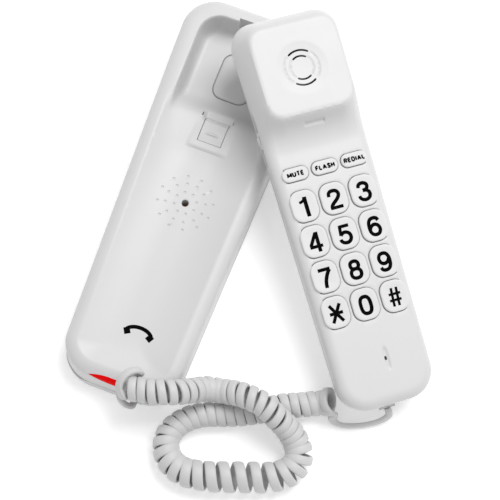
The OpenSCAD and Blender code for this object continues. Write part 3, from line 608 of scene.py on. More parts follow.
def sound_holes():
    """Centres of the grille's holes, ring by ring."""
    out = []
    for radius, count in GRILLE_RINGS:
        for i in range(count):
            a = 2 * math.pi * (i + 0.5) / count
            out.append((radius * math.cos(a), GRILLE_Y + radius * math.sin(a)))
    return out


def base_surface(p, edge):
    """Height of the base's front inside its rounded edge."""
    x, y = p[:, 0], p[:, 1]
    rim = rim_z(y)
    inset = apart(p, base_plate().ring(0))
    u = np.clip((inset - edge) / 24, 0, 1)
    dish = rim - (rim - TROUGH_Z) * (1 - (1 - u) ** 2)
    dish = dish + 1.0 * ease((y - 20) / 18) * ease(u * 1.5)
    down = ease((y - 43) / 16)
    bed = TROUGH_Z + 1.0 + (RECESS_Z - TROUGH_Z - 1.0) * down
    recess = rim - (rim - bed) * along_curve(recess_depth(p), WALL_E, WALL_SHARE)
    z = dish + (recess - dish) * ease((y - 40) / 15)
    pad = ease((y - 26.6) / 1.3) * ease((11.9 - np.abs(x)) / 1.8) * (1 - ease((y - 38) / 6))
    z = z + pad * (TAB_TOP + 0.1 - z)
    channel = ease((8.6 - np.abs(x)) / 1.6) * ease((y - 43.2) / 2.2)
    z = z - channel * np.clip(z - TAB_TOP + TAB_T + 0.1, 0, 9)
    near = np.full(len(p), 9.0)
    for hx, hy in sound_holes():
        near = np.minimum(near, np.hypot(x - hx, y - hy))
    z = z - 0.55 * (1 - ease((near - 0.45) / 0.35))
    well = np.hypot(x, y - GRILLE_Y)
    z = z - 0.3 * (1 - ease((well - WELL_R) / 0.35))
    lip = np.abs(box_distance(p, HOOK_W / 2 + HOOK_GAP, HOOK_LEN / 2 + HOOK_GAP, HOOK_R + HOOK_GAP,
                              0, HOOK_Y))
    return z - 0.18 * (1 - ease(lip / 0.5))


def base_rows(edge):
    """Rings of the base's outer wall, from the parting line to where its front begins."""
    plate, drop = base_plate(), 5.0
    rows = [(0.5, None, 0.0), (0.0, None, 0.025)]
    rows += [(0.0, None, f) for f in (0.35, 0.67, 0.777, 1.0)]
    turn = [12, 24, 36, math.degrees(math.asin(1 - LENS_TOP_DROP / drop)), 60, 70, 80, 90]
    rows += [(edge * (1 - math.cos(math.radians(a))), drop * (1 - math.sin(math.radians(a))), None)
             for a in turn]
    rings = []
    for inset, below, share in rows:
        ring = plate.ring(inset)
        rim = rim_z(ring[:, 1])
        low = PARTING_Z + 0.6
        z = rim - below if below is not None else low + (rim - drop - low) * share
        rings.append(np.column_stack([ring, z]))
    low, high = LENS_ROWS
    across = np.abs(rings[0][:, 0])
    end = (rings[0][:, 1] < -100) & (across < BASE_LOW_W / 2 - BASE_R + 0.01)
    tip = np.clip((across - LENS_TIP_FROM) / LENS_TIP_LEN, 0, 1)
    pinch = np.where(end, LENS_PINCH * tip ** 1.6, 0)[:, None]
    fold = rings[LENS_FOLD].copy()
    for i in range(low, high + 1):
        rings[i] = rings[i] * (1 - pinch) + fold * pinch
    return rings


class TELEPHONE_OT_base_front(bpy.types.Operator):
    """Build the base's front moulding"""
    bl_idname = "telephone.base_front"
    bl_label = "Base front"

    def execute(self, context):
        sizes = context.scene.telephone_sizes
        edge = sizes.base_edge / MM
        rings = base_rows(edge)
        n = len(rings[0])
        sheet = Sheet()
        straight = BASE_LOW_W / 2 - BASE_R

        def keep(mid, row):
            low = mid[1] < -100
            lens = low and abs(mid[0]) < straight and LENS_ROWS[0] <= row < LENS_ROWS[1]
            mouth = JACK_X - JACK_HALF < mid[0] < JACK_X + JACK_HALF
            jack = low and mouth and JACK_ROWS[0] <= row < JACK_ROWS[1]
            return not (lens or jack)
        sheet.loft(rings, keep=keep)
        holes = [round_rect(HOOK_W + 2 * HOOK_GAP, HOOK_LEN + 2 * HOOK_GAP, HOOK_R + HOOK_GAP, 0, HOOK_Y,
                            corner=12, edge=1.5),
                 round_rect(TAB_W + 2 * TAB_GAP, TAB_LEN + 2 * TAB_GAP, 0.35, 0, TAB_LOW + TAB_LEN / 2,
                            corner=3, edge=1.2),
                 circle(WELL_R, 0, GRILLE_Y, 32)]
        holes += [round_rect(0.7, 2.4, 0.3, sx * 8.8 - 0.3, 46.9, corner=3, edge=0.6) for sx in (-1, 1)]
        extra = grid_points(-38, 38, -106, 104, 2.3)
        extra += grid_points(-13, 13, 24, 62, 1.0)
        for inset in (edge + 0.6, edge + 1.4, edge + 2.6):
            extra += [tuple(p) for p in base_plate().ring(inset)]
        for e in (-1.0, -0.6, -0.3, 0.0, 0.3, 0.6, 0.9, 1.3, 1.8, 2.4, 3.1, 3.9, 5.0, 6.2):
            edge_ring = round_rect(RECESS_W - 2 * e, 120 - 2 * e, max(RECESS_R - e, 1), 0, RECESS_HIGH - 60,
                                   corner=14, edge=1.4)
            extra += [tuple(p) for p in edge_ring if p[1] > 36]
        for grow in (0.3, 0.55, 1.2):
            extra += [tuple(p) for p in round_rect(
                HOOK_W + 2 * HOOK_GAP + 2 * grow, HOOK_LEN + 2 * HOOK_GAP + 2 * grow,
                HOOK_R + HOOK_GAP + grow, 0, HOOK_Y, corner=12, edge=1.5)]
        for hx, hy in sound_holes():
            for r, count in ((0.82, 12), (0.62, 12), (0.42, 8), (0.0, 1)):
                extra += [tuple(p) for p in circle(r, hx, hy, count)]
        for r in (2.15, 2.35, 2.8):
            extra += [tuple(p) for p in circle(r, 0, GRILLE_Y, 24)]
        pts, faces = plan_sheet(rings[-1][:, :2], holes, extra, lambda p: base_surface(p, edge))
        pts[:n, 2] = rings[-1][:, 2]
        sheet.add(pts, faces)
        sheet.points = [tuple(p) for p in leaned(sheet.points)]
        mesh = as_mesh(sheet, "base_front_moulding")
        make_piece("base_front_moulding", mesh, "base", ["shell_plastic"], ["base_front_shell"],
                   thick=sizes.wall)
        return {"FINISHED"}


class TELEPHONE_OT_base_fittings(bpy.types.Operator):
    """Build the screw well, ring lamp lens, hook button and wall hook tab"""
    bl_idname = "telephone.base_fittings"
    bl_label = "Base fittings"

    def execute(self, context):
        sizes = context.scene.telephone_sizes
        edge = sizes.base_edge / MM
        self.well()
        self.lens(edge, sizes.wall)
        self.hook_button()
        self.wall_hook_tab(edge)
        return {"FINISHED"}

    def well(self):
        sheet = Sheet()
        top, foot = TROUGH_Z - 1.6, WELL_Z - 1.5
        rows = [(WELL_R + 0.02, top), (WELL_R, WELL_Z + 0.4), (WELL_R, foot), (3.6, foot), (3.9, top)]
        rings = [np.column_stack([circle(r, 0, GRILLE_Y, 32), np.full(32, z)]) for r, z in rows]
        sheet.loft(rings + [rings[0]])
        make_piece("grille_screw_well", as_mesh(sheet, "grille_screw_well"), "base", ["shell_plastic"])

    def lens(self, edge, wall):
        rings = base_rows(edge)
        low, high = LENS_ROWS
        straight = BASE_LOW_W / 2 - BASE_R
        foot = rings[0]
        columns = [j for j in range(len(foot)) if foot[j, 1] < -100 and abs(foot[j, 0]) < straight + 0.01]
        columns.sort(key=lambda j: foot[j, 0])
        strips = []
        for ring in rings[low:high + 1]:
            strip = ring[columns].copy()
            strip[:, 0] *= 1 - 0.12 / straight
            strips.append(strip)
        strips[0][:, 2] += 0.12
        strips[-1][:, 1] -= 0.1
        rows = leaned(np.vstack(strips)).reshape(len(strips), len(columns), 3)
        sheet = Sheet()
        sheet.loft(list(rows), closed=False)
        make_piece("ring_lamp_lens", as_mesh(sheet, "ring_lamp_lens"), "base", ["lens_plastic"],
                   ["ring_lens"], thick=wall)

    def hook_button(self):
        sheet = Sheet()
        top = RECESS_Z + 0.75
        rows = [(-1.5, 10.35), (-1.5, 11.75), (0, 11.8), (0, top - 1.1), (0.1, top - 0.7), (0.35, top - 0.35),
                (0.75, top - 0.12), (1.3, top), (3.0, top - 0.1), (5.5, top - 0.3), (8, top - 0.42)]
        rings = []
        for inset, z in rows:
            ring = round_rect(HOOK_W - 2 * inset, HOOK_LEN - 2 * inset, max(HOOK_R - inset, 1.0), 0, HOOK_Y,
                              corner=10, edge=99)
            rings.append(np.column_stack([ring, np.full(len(ring), z)]))
        sheet.loft(rings, cap_start=True, cap_end=True)
        make_piece("hook_button_cap", as_mesh(sheet, "hook_button_cap"), "hook_button", ["shell_plastic"],
                   ["hook_button"])

    def wall_hook_tab(self, edge):
        sheet = Sheet()
        xs = np.linspace(-TAB_W / 2, TAB_W / 2, 15)
        ys = np.concatenate([[TAB_LOW, TAB_LOW + 0.25],
                             np.linspace(TAB_LOW + 0.8, TAB_LOW + TAB_LEN - 0.3, 26),
                             [TAB_LOW + TAB_LEN]])
        bottom = TAB_TOP - TAB_T
        rows = []
        for y in ys:
            env = base_surface(np.array([[0.0, y]]), edge)[0] - 0.05
            top = max(min(TAB_TOP, env) - 0.3 * (1 - ease((y - TAB_LOW) / 4)), bottom + 0.6)
            if y in (TAB_LOW, TAB_LOW + TAB_LEN):
                top -= 0.25
            r = np.hypot(xs / 4.4, (y - TAB_LOW - 4.4) / 2.1)
            thumb = 0.85 * (1 - ease((r - 0.55) / 0.45)) * ease((y - TAB_LOW - 4.2) / 0.7)
            line = np.column_stack([xs, np.full(15, y), top + thumb])
            line[[0, -1], 2] -= 0.22
            line[1, 0] = xs[0] + 0.3
            line[-2, 0] = xs[-1] - 0.3
            under = np.array([[TAB_W / 2, y, bottom], [-TAB_W / 2, y, bottom]])
            rows.append(np.vstack([line, under]))
        sheet.loft(rows, cap_start=True, cap_end=True)
        rail = [(-8.7, 17.1), (8.7, 17.1), (8.7, bottom), (-8.7, bottom)]
        rings = [np.array([(x, y, z) for x, z in rail]) for y in (TAB_LOW, TAB_LOW + 8.5)]
        sheet.loft(rings[::-1], cap_start=True, cap_end=True)
        sheet.faces = [f[::-1] for f in sheet.faces]
        make_piece("wall_hook_slide", as_mesh(sheet, "wall_hook_slide"), "wall_hook_tab", ["shell_plastic"],
                   ["wall_hook_tab"], sharp=30)


# ---------------------------------------------------------------- handset

def hs_plate():
    """The handset's plan."""
    side_y = sorted(set(list(np.arange(18, 137, 3.0)) + [137.7, 138.0, 141, 144, 147, 150, 153, 156, 159, 162,
                                                         165.7, 166.0] + list(np.arange(169, 201, 2.7))))
    return Plate(HS_LOW_W, HS_TOP_W, 0.0, HS_LEN, HS_LOW_R, HS_TOP_R, [-8, -6, -4, -2, 0, 2, 4, 6, 8], side_y,
                 np.linspace(-14.5, 14.5, 11), corner=(8.0,))


NECK_E = [-1.4, -0.5, 0.3, 1.2, 2.3, 3.7, 5.3, 7.2, 9.4, 12.0, 15.0, 18.5]
NECK_SHARE = [1.0, 0.995, 0.96, 0.87, 0.73, 0.57, 0.42, 0.28, 0.165, 0.075, 0.02, 0.0]


def ear_rise(p):
    """How much the earpiece block raises the handset's face."""
    e = box_distance(p, EAR_HALF, EAR_HALF, EAR_R, 0, EAR_MID)
    inset = apart(p, hs_plate().ring(0))
    t = np.clip(e / (np.maximum(e, 0) + inset + 1e-6), 0, 1)
    neck = ease((168 - p[:, 1]) / 11)
    return EAR_H * ((1 - t ** 1.8) * (1 - neck) + along_curve(e, NECK_E, NECK_SHARE) * neck)


def key_places():
    """Name, centre, length and corner radius of each key."""
    names = ["1", "2", "3", "4", "5", "6", "7", "8", "9", "star", "0", "hash"]
    digits = [(n, (i % 3 - 1) * KEY_DX, KEY_TOP_ROW - i // 3 * KEY_DY, KEY_LEN, KEY_R)
              for i, n in enumerate(names)]
    return digits + [(n, (i - 1) * KEY_DX, FN_Y, FN_LEN, FN_R)
                     for i, n in enumerate(["mute", "flash", "redial"])]


def hs_surface(p):
    """Height of the handset's face inside its rounded edge."""
    x, y = p[:, 0], p[:, 1]
    z = ear_rise(p)
    d = np.hypot(x, y - EAR_MID)
    z = z - 0.9 * np.clip(1 - (d / 14.2) ** 2, 0, 1)
    for middle in (0.0, 180.0):
        for r, _, _ in EAR_SLOTS:
            a = np.degrees(np.arctan2(y - EAR_MID, x)) - middle
            a = np.abs((a + 180) % 360 - 180)
            inside = (1 - ease((np.abs(d - r) - 0.25) / 0.3)) * (1 - ease((a - 47) / 3))
            z = z - 0.35 * inside
    across = 1 - ease((np.abs(x) - 5.3) / 0.4)
    z = z - 1.3 * across * ease((y - CATCH_Y + 1.4) / 2.2) * (1 - ease((y - CATCH_Y - 1.0) / 0.3))
    reach = np.clip(np.abs(y - MIC_Y) / 6.8, 0, 1)
    half = 1.9 * np.sqrt(np.clip(1 - reach ** 2, 0, 1)) + 0.05
    groove = np.where(reach < 1, 1 - ease(np.abs(x - MIC_X - 0.5) / half), 0)
    z = z - 0.8 * groove * (1 - ease((reach - 0.6) / 0.4))
    for _, cx, cy, length, r in key_places():
        g = box_distance(p, KEY_W / 2 + KEY_GAP, length / 2 + KEY_GAP, r + KEY_GAP, cx, cy)
        z = z - 0.16 * (1 - ease(np.abs(g) / 0.45))
    return z


def hs_front_rows(edge):
    """Rings of the handset's outer wall, from its seam to where its face begins."""
    plate, drop = hs_plate(), 5.0
    rows = [(1.2, -HS_PART), (0.75, -HS_PART + 0.3), (0.62, -10.8), (0.58, -10.5), (0.06, -5.5), (0.04, -5.2)]
    rows += [(edge * (1 - math.cos(math.radians(a))), -drop * (1 - math.sin(math.radians(a))))
             for a in (10, 22, 34, 46, 58, 69, 80, 90)]
    rings = []
    for i, (inset, z) in enumerate(rows):
        ring = plate.ring(inset)
        lift = ear_rise(ring) * np.clip((z + 8) / 8, 0, 1)
        pts = np.column_stack([ring, z + lift])
        if 3 <= i <= 4:
            groove = (ring[:, 0] < 0) & (np.abs(ring[:, 1] - SLIDER_Y) < GROOVE_HALF + 0.01)
            pts[groove, 0] += 1.1
        rings.append(pts)
    return rings


class TELEPHONE_OT_handset_front(bpy.types.Operator):
    """Build the handset's front moulding"""
    bl_idname = "telephone.handset_front"
    bl_label = "Handset front"

    def execute(self, context):
        sizes = context.scene.telephone_sizes
        edge = sizes.handset_edge / MM
        rings = hs_front_rows(edge)
        n = len(rings[0])
        sheet = Sheet()
        sheet.loft(rings)
        holes = []
        for _, cx, cy, length, r in key_places():
            holes.append(round_rect(KEY_W + 2 * KEY_GAP, length + 2 * KEY_GAP, r + KEY_GAP, cx, cy,
                                    corner=10, edge=1.6))
        for middle in (90, -90):
            holes += [arc_slot(r, width, middle, half, 0, EAR_MID) for r, width, half in EAR_SLOTS]
        holes.append(round_rect(1.4, 2.2, 0.68, MIC_X, MIC_Y, corner=6, edge=9))
        extra = grid_points(-27, 27, 5, 208, 2.4)
        extra += grid_points(-24.5, 24.5, 134, 208, 1.5)
        extra += grid_points(-15, 15, EAR_MID - 15, EAR_MID + 15, 0.75)
        extra += grid_points(MIC_X - 3, MIC_X + 3, MIC_Y - 8, MIC_Y + 8, 0.5)
        extra += grid_points(-6.4, 6.4, CATCH_Y - 2.4, CATCH_Y + 2.4, 0.4)
        for _, cx, cy, length, r in key_places():
            for grow in (0.25, 0.5):
                extra += [tuple(p) for p in round_rect(
                    KEY_W + 2 * KEY_GAP + 2 * grow, length + 2 * KEY_GAP + 2 * grow, r + KEY_GAP + grow,
                    cx, cy, corner=10, edge=1.6)]
        pts, faces = plan_sheet(rings[-1][:, :2], holes, extra, hs_surface, near=0.18)
        pts[:n, 2] = rings[-1][:, 2]
        sheet.add(pts, faces)
        mesh = as_mesh(sheet, "handset_front_moulding", hand_matrix())
        make_piece("handset_front_moulding", mesh, "handset", ["shell_plastic"], ["handset_front_shell"],
                   thick=sizes.wall)
        return {"FINISHED"}


BACK_E = [2.2, 3.0, 3.9, 5.2, 6.7, 8.4, 10.2, 12.0]
BACK_Z = [-18.2, -19.9, -21.2, -22.4, -23.25, -23.75, -23.96, -24.0]


class TELEPHONE_OT_handset_back(bpy.types.Operator):
    """Build the handset's back moulding"""
    bl_idname = "telephone.handset_back"
    bl_label = "Handset back"

    def execute(self, context):
        sizes = context.scene.telephone_sizes
        plate = hs_plate()
        rows = [(1.25, -HS_PART - 0.02), (0.8, -HS_PART - 0.35), (0.9, -12.7), (1.15, -14.2), (1.6, -16.2),
                (2.2, -18.2), (3.0, -19.9), (3.9, -21.2)]
        rings = [np.column_stack([plate.ring(i), np.full(len(plate.ring(0)), z)]) for i, z in rows]
        sheet = Sheet()

        def keep(mid, _):
            return not (mid[1] < 2.5 and abs(mid[0]) < 4 and -19.6 < mid[2] < -12.4)
        sheet.loft(rings, keep=keep)
        outline = plate.ring(0)

        def back(p):
            return along_curve(apart(p, outline), BACK_E, BACK_Z)
        bosses = [(7.5 - HS_LOW_W / 2, MIC_Y + 10), (HS_LOW_W / 2 - 7.5, MIC_Y + 10), (0, HS_LEN - 8)]
        holes = [circle(3.0, x, y, 28) for x, y in bosses]
        extra = grid_points(-26, 26, 3, 210, 2.6)
        for inset in (4.6, 5.4, 6.4, 7.6, 9.0, 10.5):
            extra += [tuple(p) for p in plate.ring(inset)]
        pts, faces = plan_sheet(rings[-1][:, :2], holes, extra, back)
        pts[:len(outline), 2] = rings[-1][:, 2]
        sheet.add(pts, faces)
        for hole, (x, y) in zip(holes, bosses):
            foot = np.column_stack([hole, np.full(28, 3.0 - HS_T)])
            bore = np.column_stack([circle(1.3, x, y, 28), np.full(28, 3.0 - HS_T)])
            sheet.loft([np.column_stack([hole, back(hole)]), foot, bore])
        sheet.faces = [f[::-1] for f in sheet.faces]
        mesh = as_mesh(sheet, "handset_back_moulding", hand_matrix())
        make_piece("handset_back_moulding", mesh, "handset", ["shell_plastic"], ["handset_back_shell"],
                   thick=sizes.wall)
        return {"FINISHED"}


# ---------------------------------------------------------------- keys

def oval(cx, cy, rx, ry, power=2.3, n=36):
    """A closed squarish oval whose last point repeats its first."""
    a = np.linspace(0, 2 * math.pi, n + 1)
    c, s = np.cos(a), np.sin(a)
    return np.stack([cx + rx * np.sign(c) * np.abs(c) ** (2 / power),
                     cy + ry * np.sign(s) * np.abs(s) ** (2 / power)], 1)


def figure_strokes():
    """Centre lines of each key's printed figure, as (points, stroke width), in millimetres."""
    w, thin = 1.95, 1.75
    six = through([(2.75, 2.7), (2.1, 4.0), (0.5, 4.5), (-1.4, 4.0), (-2.5, 2.4), (-2.85, 0.0), (-2.6, -2.4),
                   (-1.6, -4.0), (0.1, -4.5), (1.9, -3.9), (2.75, -1.9), (2.0, 0.2), (0.2, 1.0), (-1.6, 0.3),
                   (-2.5, -1.1)], 5)
    return {
        "1": [([(0.85, 5.35), (0.85, -5.35)], 2.15),
              (through([(-2.5, 2.75), (-0.9, 3.1), (0.2, 4.0), (0.5, 5.3)], 4), 1.5)],
        "2": [(through([(-2.75, 1.7), (-2.5, 3.4), (-1.4, 4.4), (0.1, 4.55), (1.8, 4.1), (2.65, 2.7),
                        (2.3, 1.1), (0.9, -0.5), (-0.9, -1.9), (-2.2, -3.2), (-2.6, -4.4)], 5), w),
              ([(-3.45, -4.45), (3.6, -4.45)], 1.8)],
        "3": [(through([(-2.6, 2.3), (-2.2, 3.7), (-0.9, 4.5), (0.7, 4.45), (2.1, 3.6), (2.3, 2.2),
                        (1.4, 0.95), (-0.5, 0.55)], 5), w),
              (through([(-0.5, 0.55), (1.5, 0.3), (2.7, -0.9), (2.75, -2.6), (1.7, -4.0), (0.0, -4.5),
                        (-1.7, -4.1), (-2.7, -3.1), (-2.95, -1.9)], 5), w)],
        "4": [([(1.1, 4.9), (-3.0, -1.7)], 1.85), ([(-3.6, -2.3), (3.5, -2.3)], thin),
              ([(1.35, 5.3), (1.35, -5.35)], 2.0)],
        "5": [([(-2.2, 4.4), (3.0, 4.4)], thin), ([(-1.75, 5.1), (-2.35, -0.3)], 1.8),
              (through([(-2.4, -0.2), (-1.2, 0.8), (0.4, 1.1), (2.2, 0.2), (2.85, -1.6), (2.3, -3.4),
                        (0.7, -4.45), (-1.3, -4.3), (-2.6, -3.4), (-3.0, -2.2)], 5), w)],
        "6": [(six, w)],
        "7": [([(-3.3, 4.4), (3.3, 4.4)], 1.8),
              (through([(2.9, 4.0), (1.2, 1.6), (0.0, -1.0), (-0.65, -3.4), (-0.85, -5.35)], 5), 2.0)],
        "8": [(oval(0, 2.45, 2.25, 2.05), w), (oval(0, -2.05, 2.7, 2.45), w)],
        "9": [(-six, w)],
        "0": [(oval(0, 0, 2.75, 4.45, 2.6), 2.0)],
        "star": [([(-2.6, 4.3), (2.6, -4.3)], 1.6), ([(2.6, 4.3), (-2.6, -4.3)], 1.6),
                 ([(-3.3, 0), (3.3, 0)], 1.6)],
        "hash": [([(-0.95, 4.5), (-1.6, -4.5)], 1.3), ([(1.6, 4.5), (0.95, -4.5)], 1.3),
                 ([(-2.9, 1.5), (3.0, 1.5)], 1.25), ([(-3.1, -1.5), (2.8, -1.5)], 1.25)],
    }


CAP_H, CAP_STROKE, CAP_SPACE, WORD_MAX = 2.05, 0.8, 0.14, 11.2


def capitals():
    """Width and strokes of the capitals on the function keys, with a height of 1."""
    bowl = through([(0, 1), (0.36, 1), (0.6, 0.86), (0.7, 0.5), (0.6, 0.14), (0.36, 0), (0, 0)], 3)
    loop = through([(0, 1), (0.38, 1), (0.6, 0.9), (0.64, 0.76), (0.58, 0.6), (0.38, 0.5), (0, 0.5)], 3)
    cup = through([(0, 1), (0, 0.35), (0.09, 0.09), (0.34, 0), (0.59, 0.09), (0.68, 0.35), (0.68, 1)], 3)
    bend = through([(0.58, 0.76), (0.48, 0.95), (0.3, 1), (0.1, 0.92), (0.05, 0.74), (0.16, 0.59),
                    (0.46, 0.44), (0.58, 0.27), (0.5, 0.07), (0.29, 0), (0.09, 0.06), (0.0, 0.24)], 3)
    stem, foot, head = [(0, 0), (0, 1)], [(0, 0), (0.56, 0)], [(0, 1), (0.56, 1)]
    middle = [(0, 0.52), (0.5, 0.52)]
    return {
        "A": (0.8, [[(0, 0), (0.4, 1)], [(0.4, 1), (0.8, 0)], [(0.16, 0.3), (0.64, 0.3)]]),
        "D": (0.7, [stem, bowl]), "E": (0.56, [stem, foot, middle, head]), "F": (0.52, [stem, middle, head]),
        "H": (0.66, [stem, [(0.66, 0), (0.66, 1)], [(0, 0.52), (0.66, 0.52)]]), "I": (0.0, [stem]),
        "L": (0.54, [stem, foot]), "R": (0.66, [stem, loop, [(0.36, 0.5), (0.66, 0)]]), "S": (0.58, [bend]),
        "M": (0.95, [stem, [(0, 1), (0.475, 0.15)], [(0.475, 0.15), (0.95, 1)], [(0.95, 1), (0.95, 0)]]),
        "T": (0.64, [[(0, 1), (0.64, 1)], [(0.32, 0), (0.32, 1)]]), "U": (0.68, [cup]),
    }


def printed(sheet, lines, height, lift=0.035, finish=1, scale=1.0, shift=(0.0, 0.0)):
    """Raised strokes of ink along centre lines, on a surface given by its height."""
    for line, width in lines:
        p = refined_line(np.asarray(line, float) * scale, 0.5) + shift
        d = np.gradient(p, axis=0)
        d /= np.hypot(*d.T)[:, None]
        closed = np.hypot(*(p[0] - p[-1])) < 1e-6
        if closed:
            d[0] = d[-1] = (d[0] + d[-1]) / 2 if np.hypot(*(d[0] + d[-1])) > 0 else d[0]
        side = np.stack([-d[:, 1], d[:, 0]], 1) * width * scale / 2
        left, right = p + side, p - side
        z0, z1 = height(left) + lift, height(right) + lift
        rows = [np.array([(*a, za), (*b, zb), (*b, zb - 0.12), (*a, za - 0.12)])
                for a, b, za, zb in zip(left, right, z0, z1)]
        sheet.loft(rows, cap_start=not closed, cap_end=not closed, finish=finish)


def refined_line(line, edge):
    """An open line with points added so that none of its edges is longer than that."""
    out = [line[0]]
    for a, b in zip(line, line[1:]):
        n = max(1, math.ceil(math.hypot(*(b - a)) / edge))
        out += [a + (b - a) * k / n for k in range(1, n + 1)]
    return np.array(out)


def key_top(p, cx, cy, length, r):
    """Height of a key's top: level round its edge, lightly dished in the middle."""
    e = -box_distance(p, KEY_W / 2, length / 2, r, cx, cy)
    deep = DIGIT_DISH if length > FN_LEN else WORD_DISH
    return KEY_PROUD - 0.42 * (1 - np.sqrt(np.clip(1 - (1 - np.clip(e / 0.9, 0, 1)) ** 2, 0, 1))) \
        - deep * ease((e - 0.9) / 5.5)


class TELEPHONE_OT_keys(bpy.types.Operator):
    """Build the twelve digit keys and the three function keys"""
    bl_idname = "telephone.keys"
    bl_label = "Keys"

    def execute(self, context):
        strokes = figure_strokes()
        for name, cx, cy, length, r in key_places():
            sheet = Sheet()
            rings = []
            digit = length > FN_LEN
            for inset, z in [(-0.9, -3.7), (-0.9, -2.35), (0, -2.3), (0, 0.4), (0, 0.6)]:
                ring = round_rect(KEY_W - 2 * inset, length - 2 * inset, r - inset, cx, cy,
                                  corner=10, edge=99)
                rings.append(np.column_stack([ring, np.full(len(ring), z)]))
            for inset in (0.0, 0.08, 0.25, 0.5, 0.9, 1.4, 2.0, 2.7, 3.3) + ((4.2, 5.2, 6.2) if digit else ()):
                rr = max(r - inset, 0.15)
                ring = round_rect(KEY_W - 2 * inset, max(length - 2 * inset, 2 * rr), rr, cx, cy,
                                  corner=10, edge=99)
                z = key_top(ring, cx, cy, length, r)
                rings.append(np.column_stack([ring, z]))
            # The key's flange and sides, up to just under its rounded top, take the near-black rubber finish:
            # painted shade that draws a dark line round each key
            sheet.loft(rings[:4], cap_start=True, finish=2)
            sheet.loft(rings[3:], cap_end=True)

            def top(p):
                return key_top(p, cx, cy, length, r)
            if digit:
                size = 1.1 if name in ("star", "hash") else 1.0
                printed(sheet, strokes[name], top, shift=(cx + 0.1, cy - 0.6), scale=size)
            else:
                self.word(sheet, name.upper(), cx, cy, top)
            mesh = as_mesh(sheet, "key_cap_" + name, hand_matrix(), merge=0.002)
            make_piece("key_cap_" + name, mesh, "key_" + name,
                       ["keycap_finish", "printing_ink", "mat_rubber"], ["key_" + name],
                       sharp=42)
        return {"FINISHED"}

    def word(self, sheet, text, cx, cy, top):
        """A function key's plain word in upright capitals."""
        shapes = capitals()
        widths = [shapes[c][0] * CAP_H + CAP_STROKE + CAP_SPACE for c in text]
        whole = sum(widths) - CAP_STROKE - CAP_SPACE
        narrow = min(1.0, WORD_MAX / whole)
        x, lines = -whole / 2, []
        for c, wide in zip(text, widths):
            for stroke in shapes[c][1]:
                line = [((x + px * CAP_H) * narrow, (py - 0.5) * CAP_H) for px, py in stroke]
                lines.append((line, CAP_STROKE))
            x += wide
        printed(sheet, lines, top, lift=0.06, shift=(cx, cy))


class TELEPHONE_OT_volume_slider(bpy.types.Operator):
    """Build the volume slider's knob on the handset's side"""
    bl_idname = "telephone.volume_slider"
    bl_label = "Volume slider"

    def execute(self, context):
        side = (HS_LOW_W + (HS_TOP_W - HS_LOW_W) * (SLIDER_Y - HS_LOW_R) / (HS_LEN - HS_LOW_R - HS_TOP_R)) / 2
        sheet = Sheet()
        rows = []
        for y in np.linspace(-4.5, 4.5, 19):
            out = 0.5 if abs(y) < 2.1 and int(round(y * 2)) % 2 == 0 else (0.25 if abs(y) < 2.1 else -0.45)
            x = -side - out
            rows.append(np.array([(x, SLIDER_Y + y, SLIDER_Z - 1.9), (x + 0.3, SLIDER_Y + y, SLIDER_Z - 2.2),
                                  (1.0 - side, SLIDER_Y + y, SLIDER_Z - 2.2),
                                  (1.0 - side, SLIDER_Y + y, SLIDER_Z + 2.2),
                                  (x + 0.3, SLIDER_Y + y, SLIDER_Z + 2.2),
                                  (x, SLIDER_Y + y, SLIDER_Z + 1.9)]))
        sheet.loft(rows, cap_start=True, cap_end=True)
        make_piece("volume_slider_knob", as_mesh(sheet, "volume_slider_knob", hand_matrix()), "volume_slider",
                   ["keycap_finish"], ["volume_slider"])
        return {"FINISHED"}


# ---------------------------------------------------------------- mark on the base

class TELEPHONE_OT_base_mark(bpy.types.Operator):
    """Print a plain handset sign near the base's lower end"""
    bl_idname = "telephone.base_mark"
    bl_label = "Base sign"

    def execute(self, context):
        edge = context.scene.telephone_sizes.base_edge / MM
        sheet = Sheet()
        arc = [(7.2 * math.cos(a) * 1.02, 4.2 * math.sin(a) - 2.6)
               for a in np.linspace(0.35, math.pi - 0.35, 18)]
        lines = [(arc, 2.1), ([(5.0, -1.2), (7.9, -2.9)], 3.6), ([(-5.0, -1.2), (-7.9, -2.9)], 3.6)]
        printed(sheet, lines, lambda p: base_surface(p, edge), shift=np.array(SIGN_PLACE), finish=0)
        sheet.points = [tuple(p) for p in leaned(sheet.points)]
        mesh = as_mesh(sheet, "base_handset_sign", merge=0.002)
        make_piece("base_handset_sign", mesh, "base", ["printing_ink"])
        return {"FINISHED"}


# ---------------------------------------------------------------- cord

def upright_frames(line):
    """Unit tangents, and level and upright directions across them."""
    d = np.gradient(line, axis=0)
    d /= np.linalg.norm(d, axis=1)[:, None]
    level = np.cross([0.0, 0.0, 1.0], d)
    level /= np.linalg.norm(level, axis=1)[:, None]
    return d, level, np.cross(d, level)


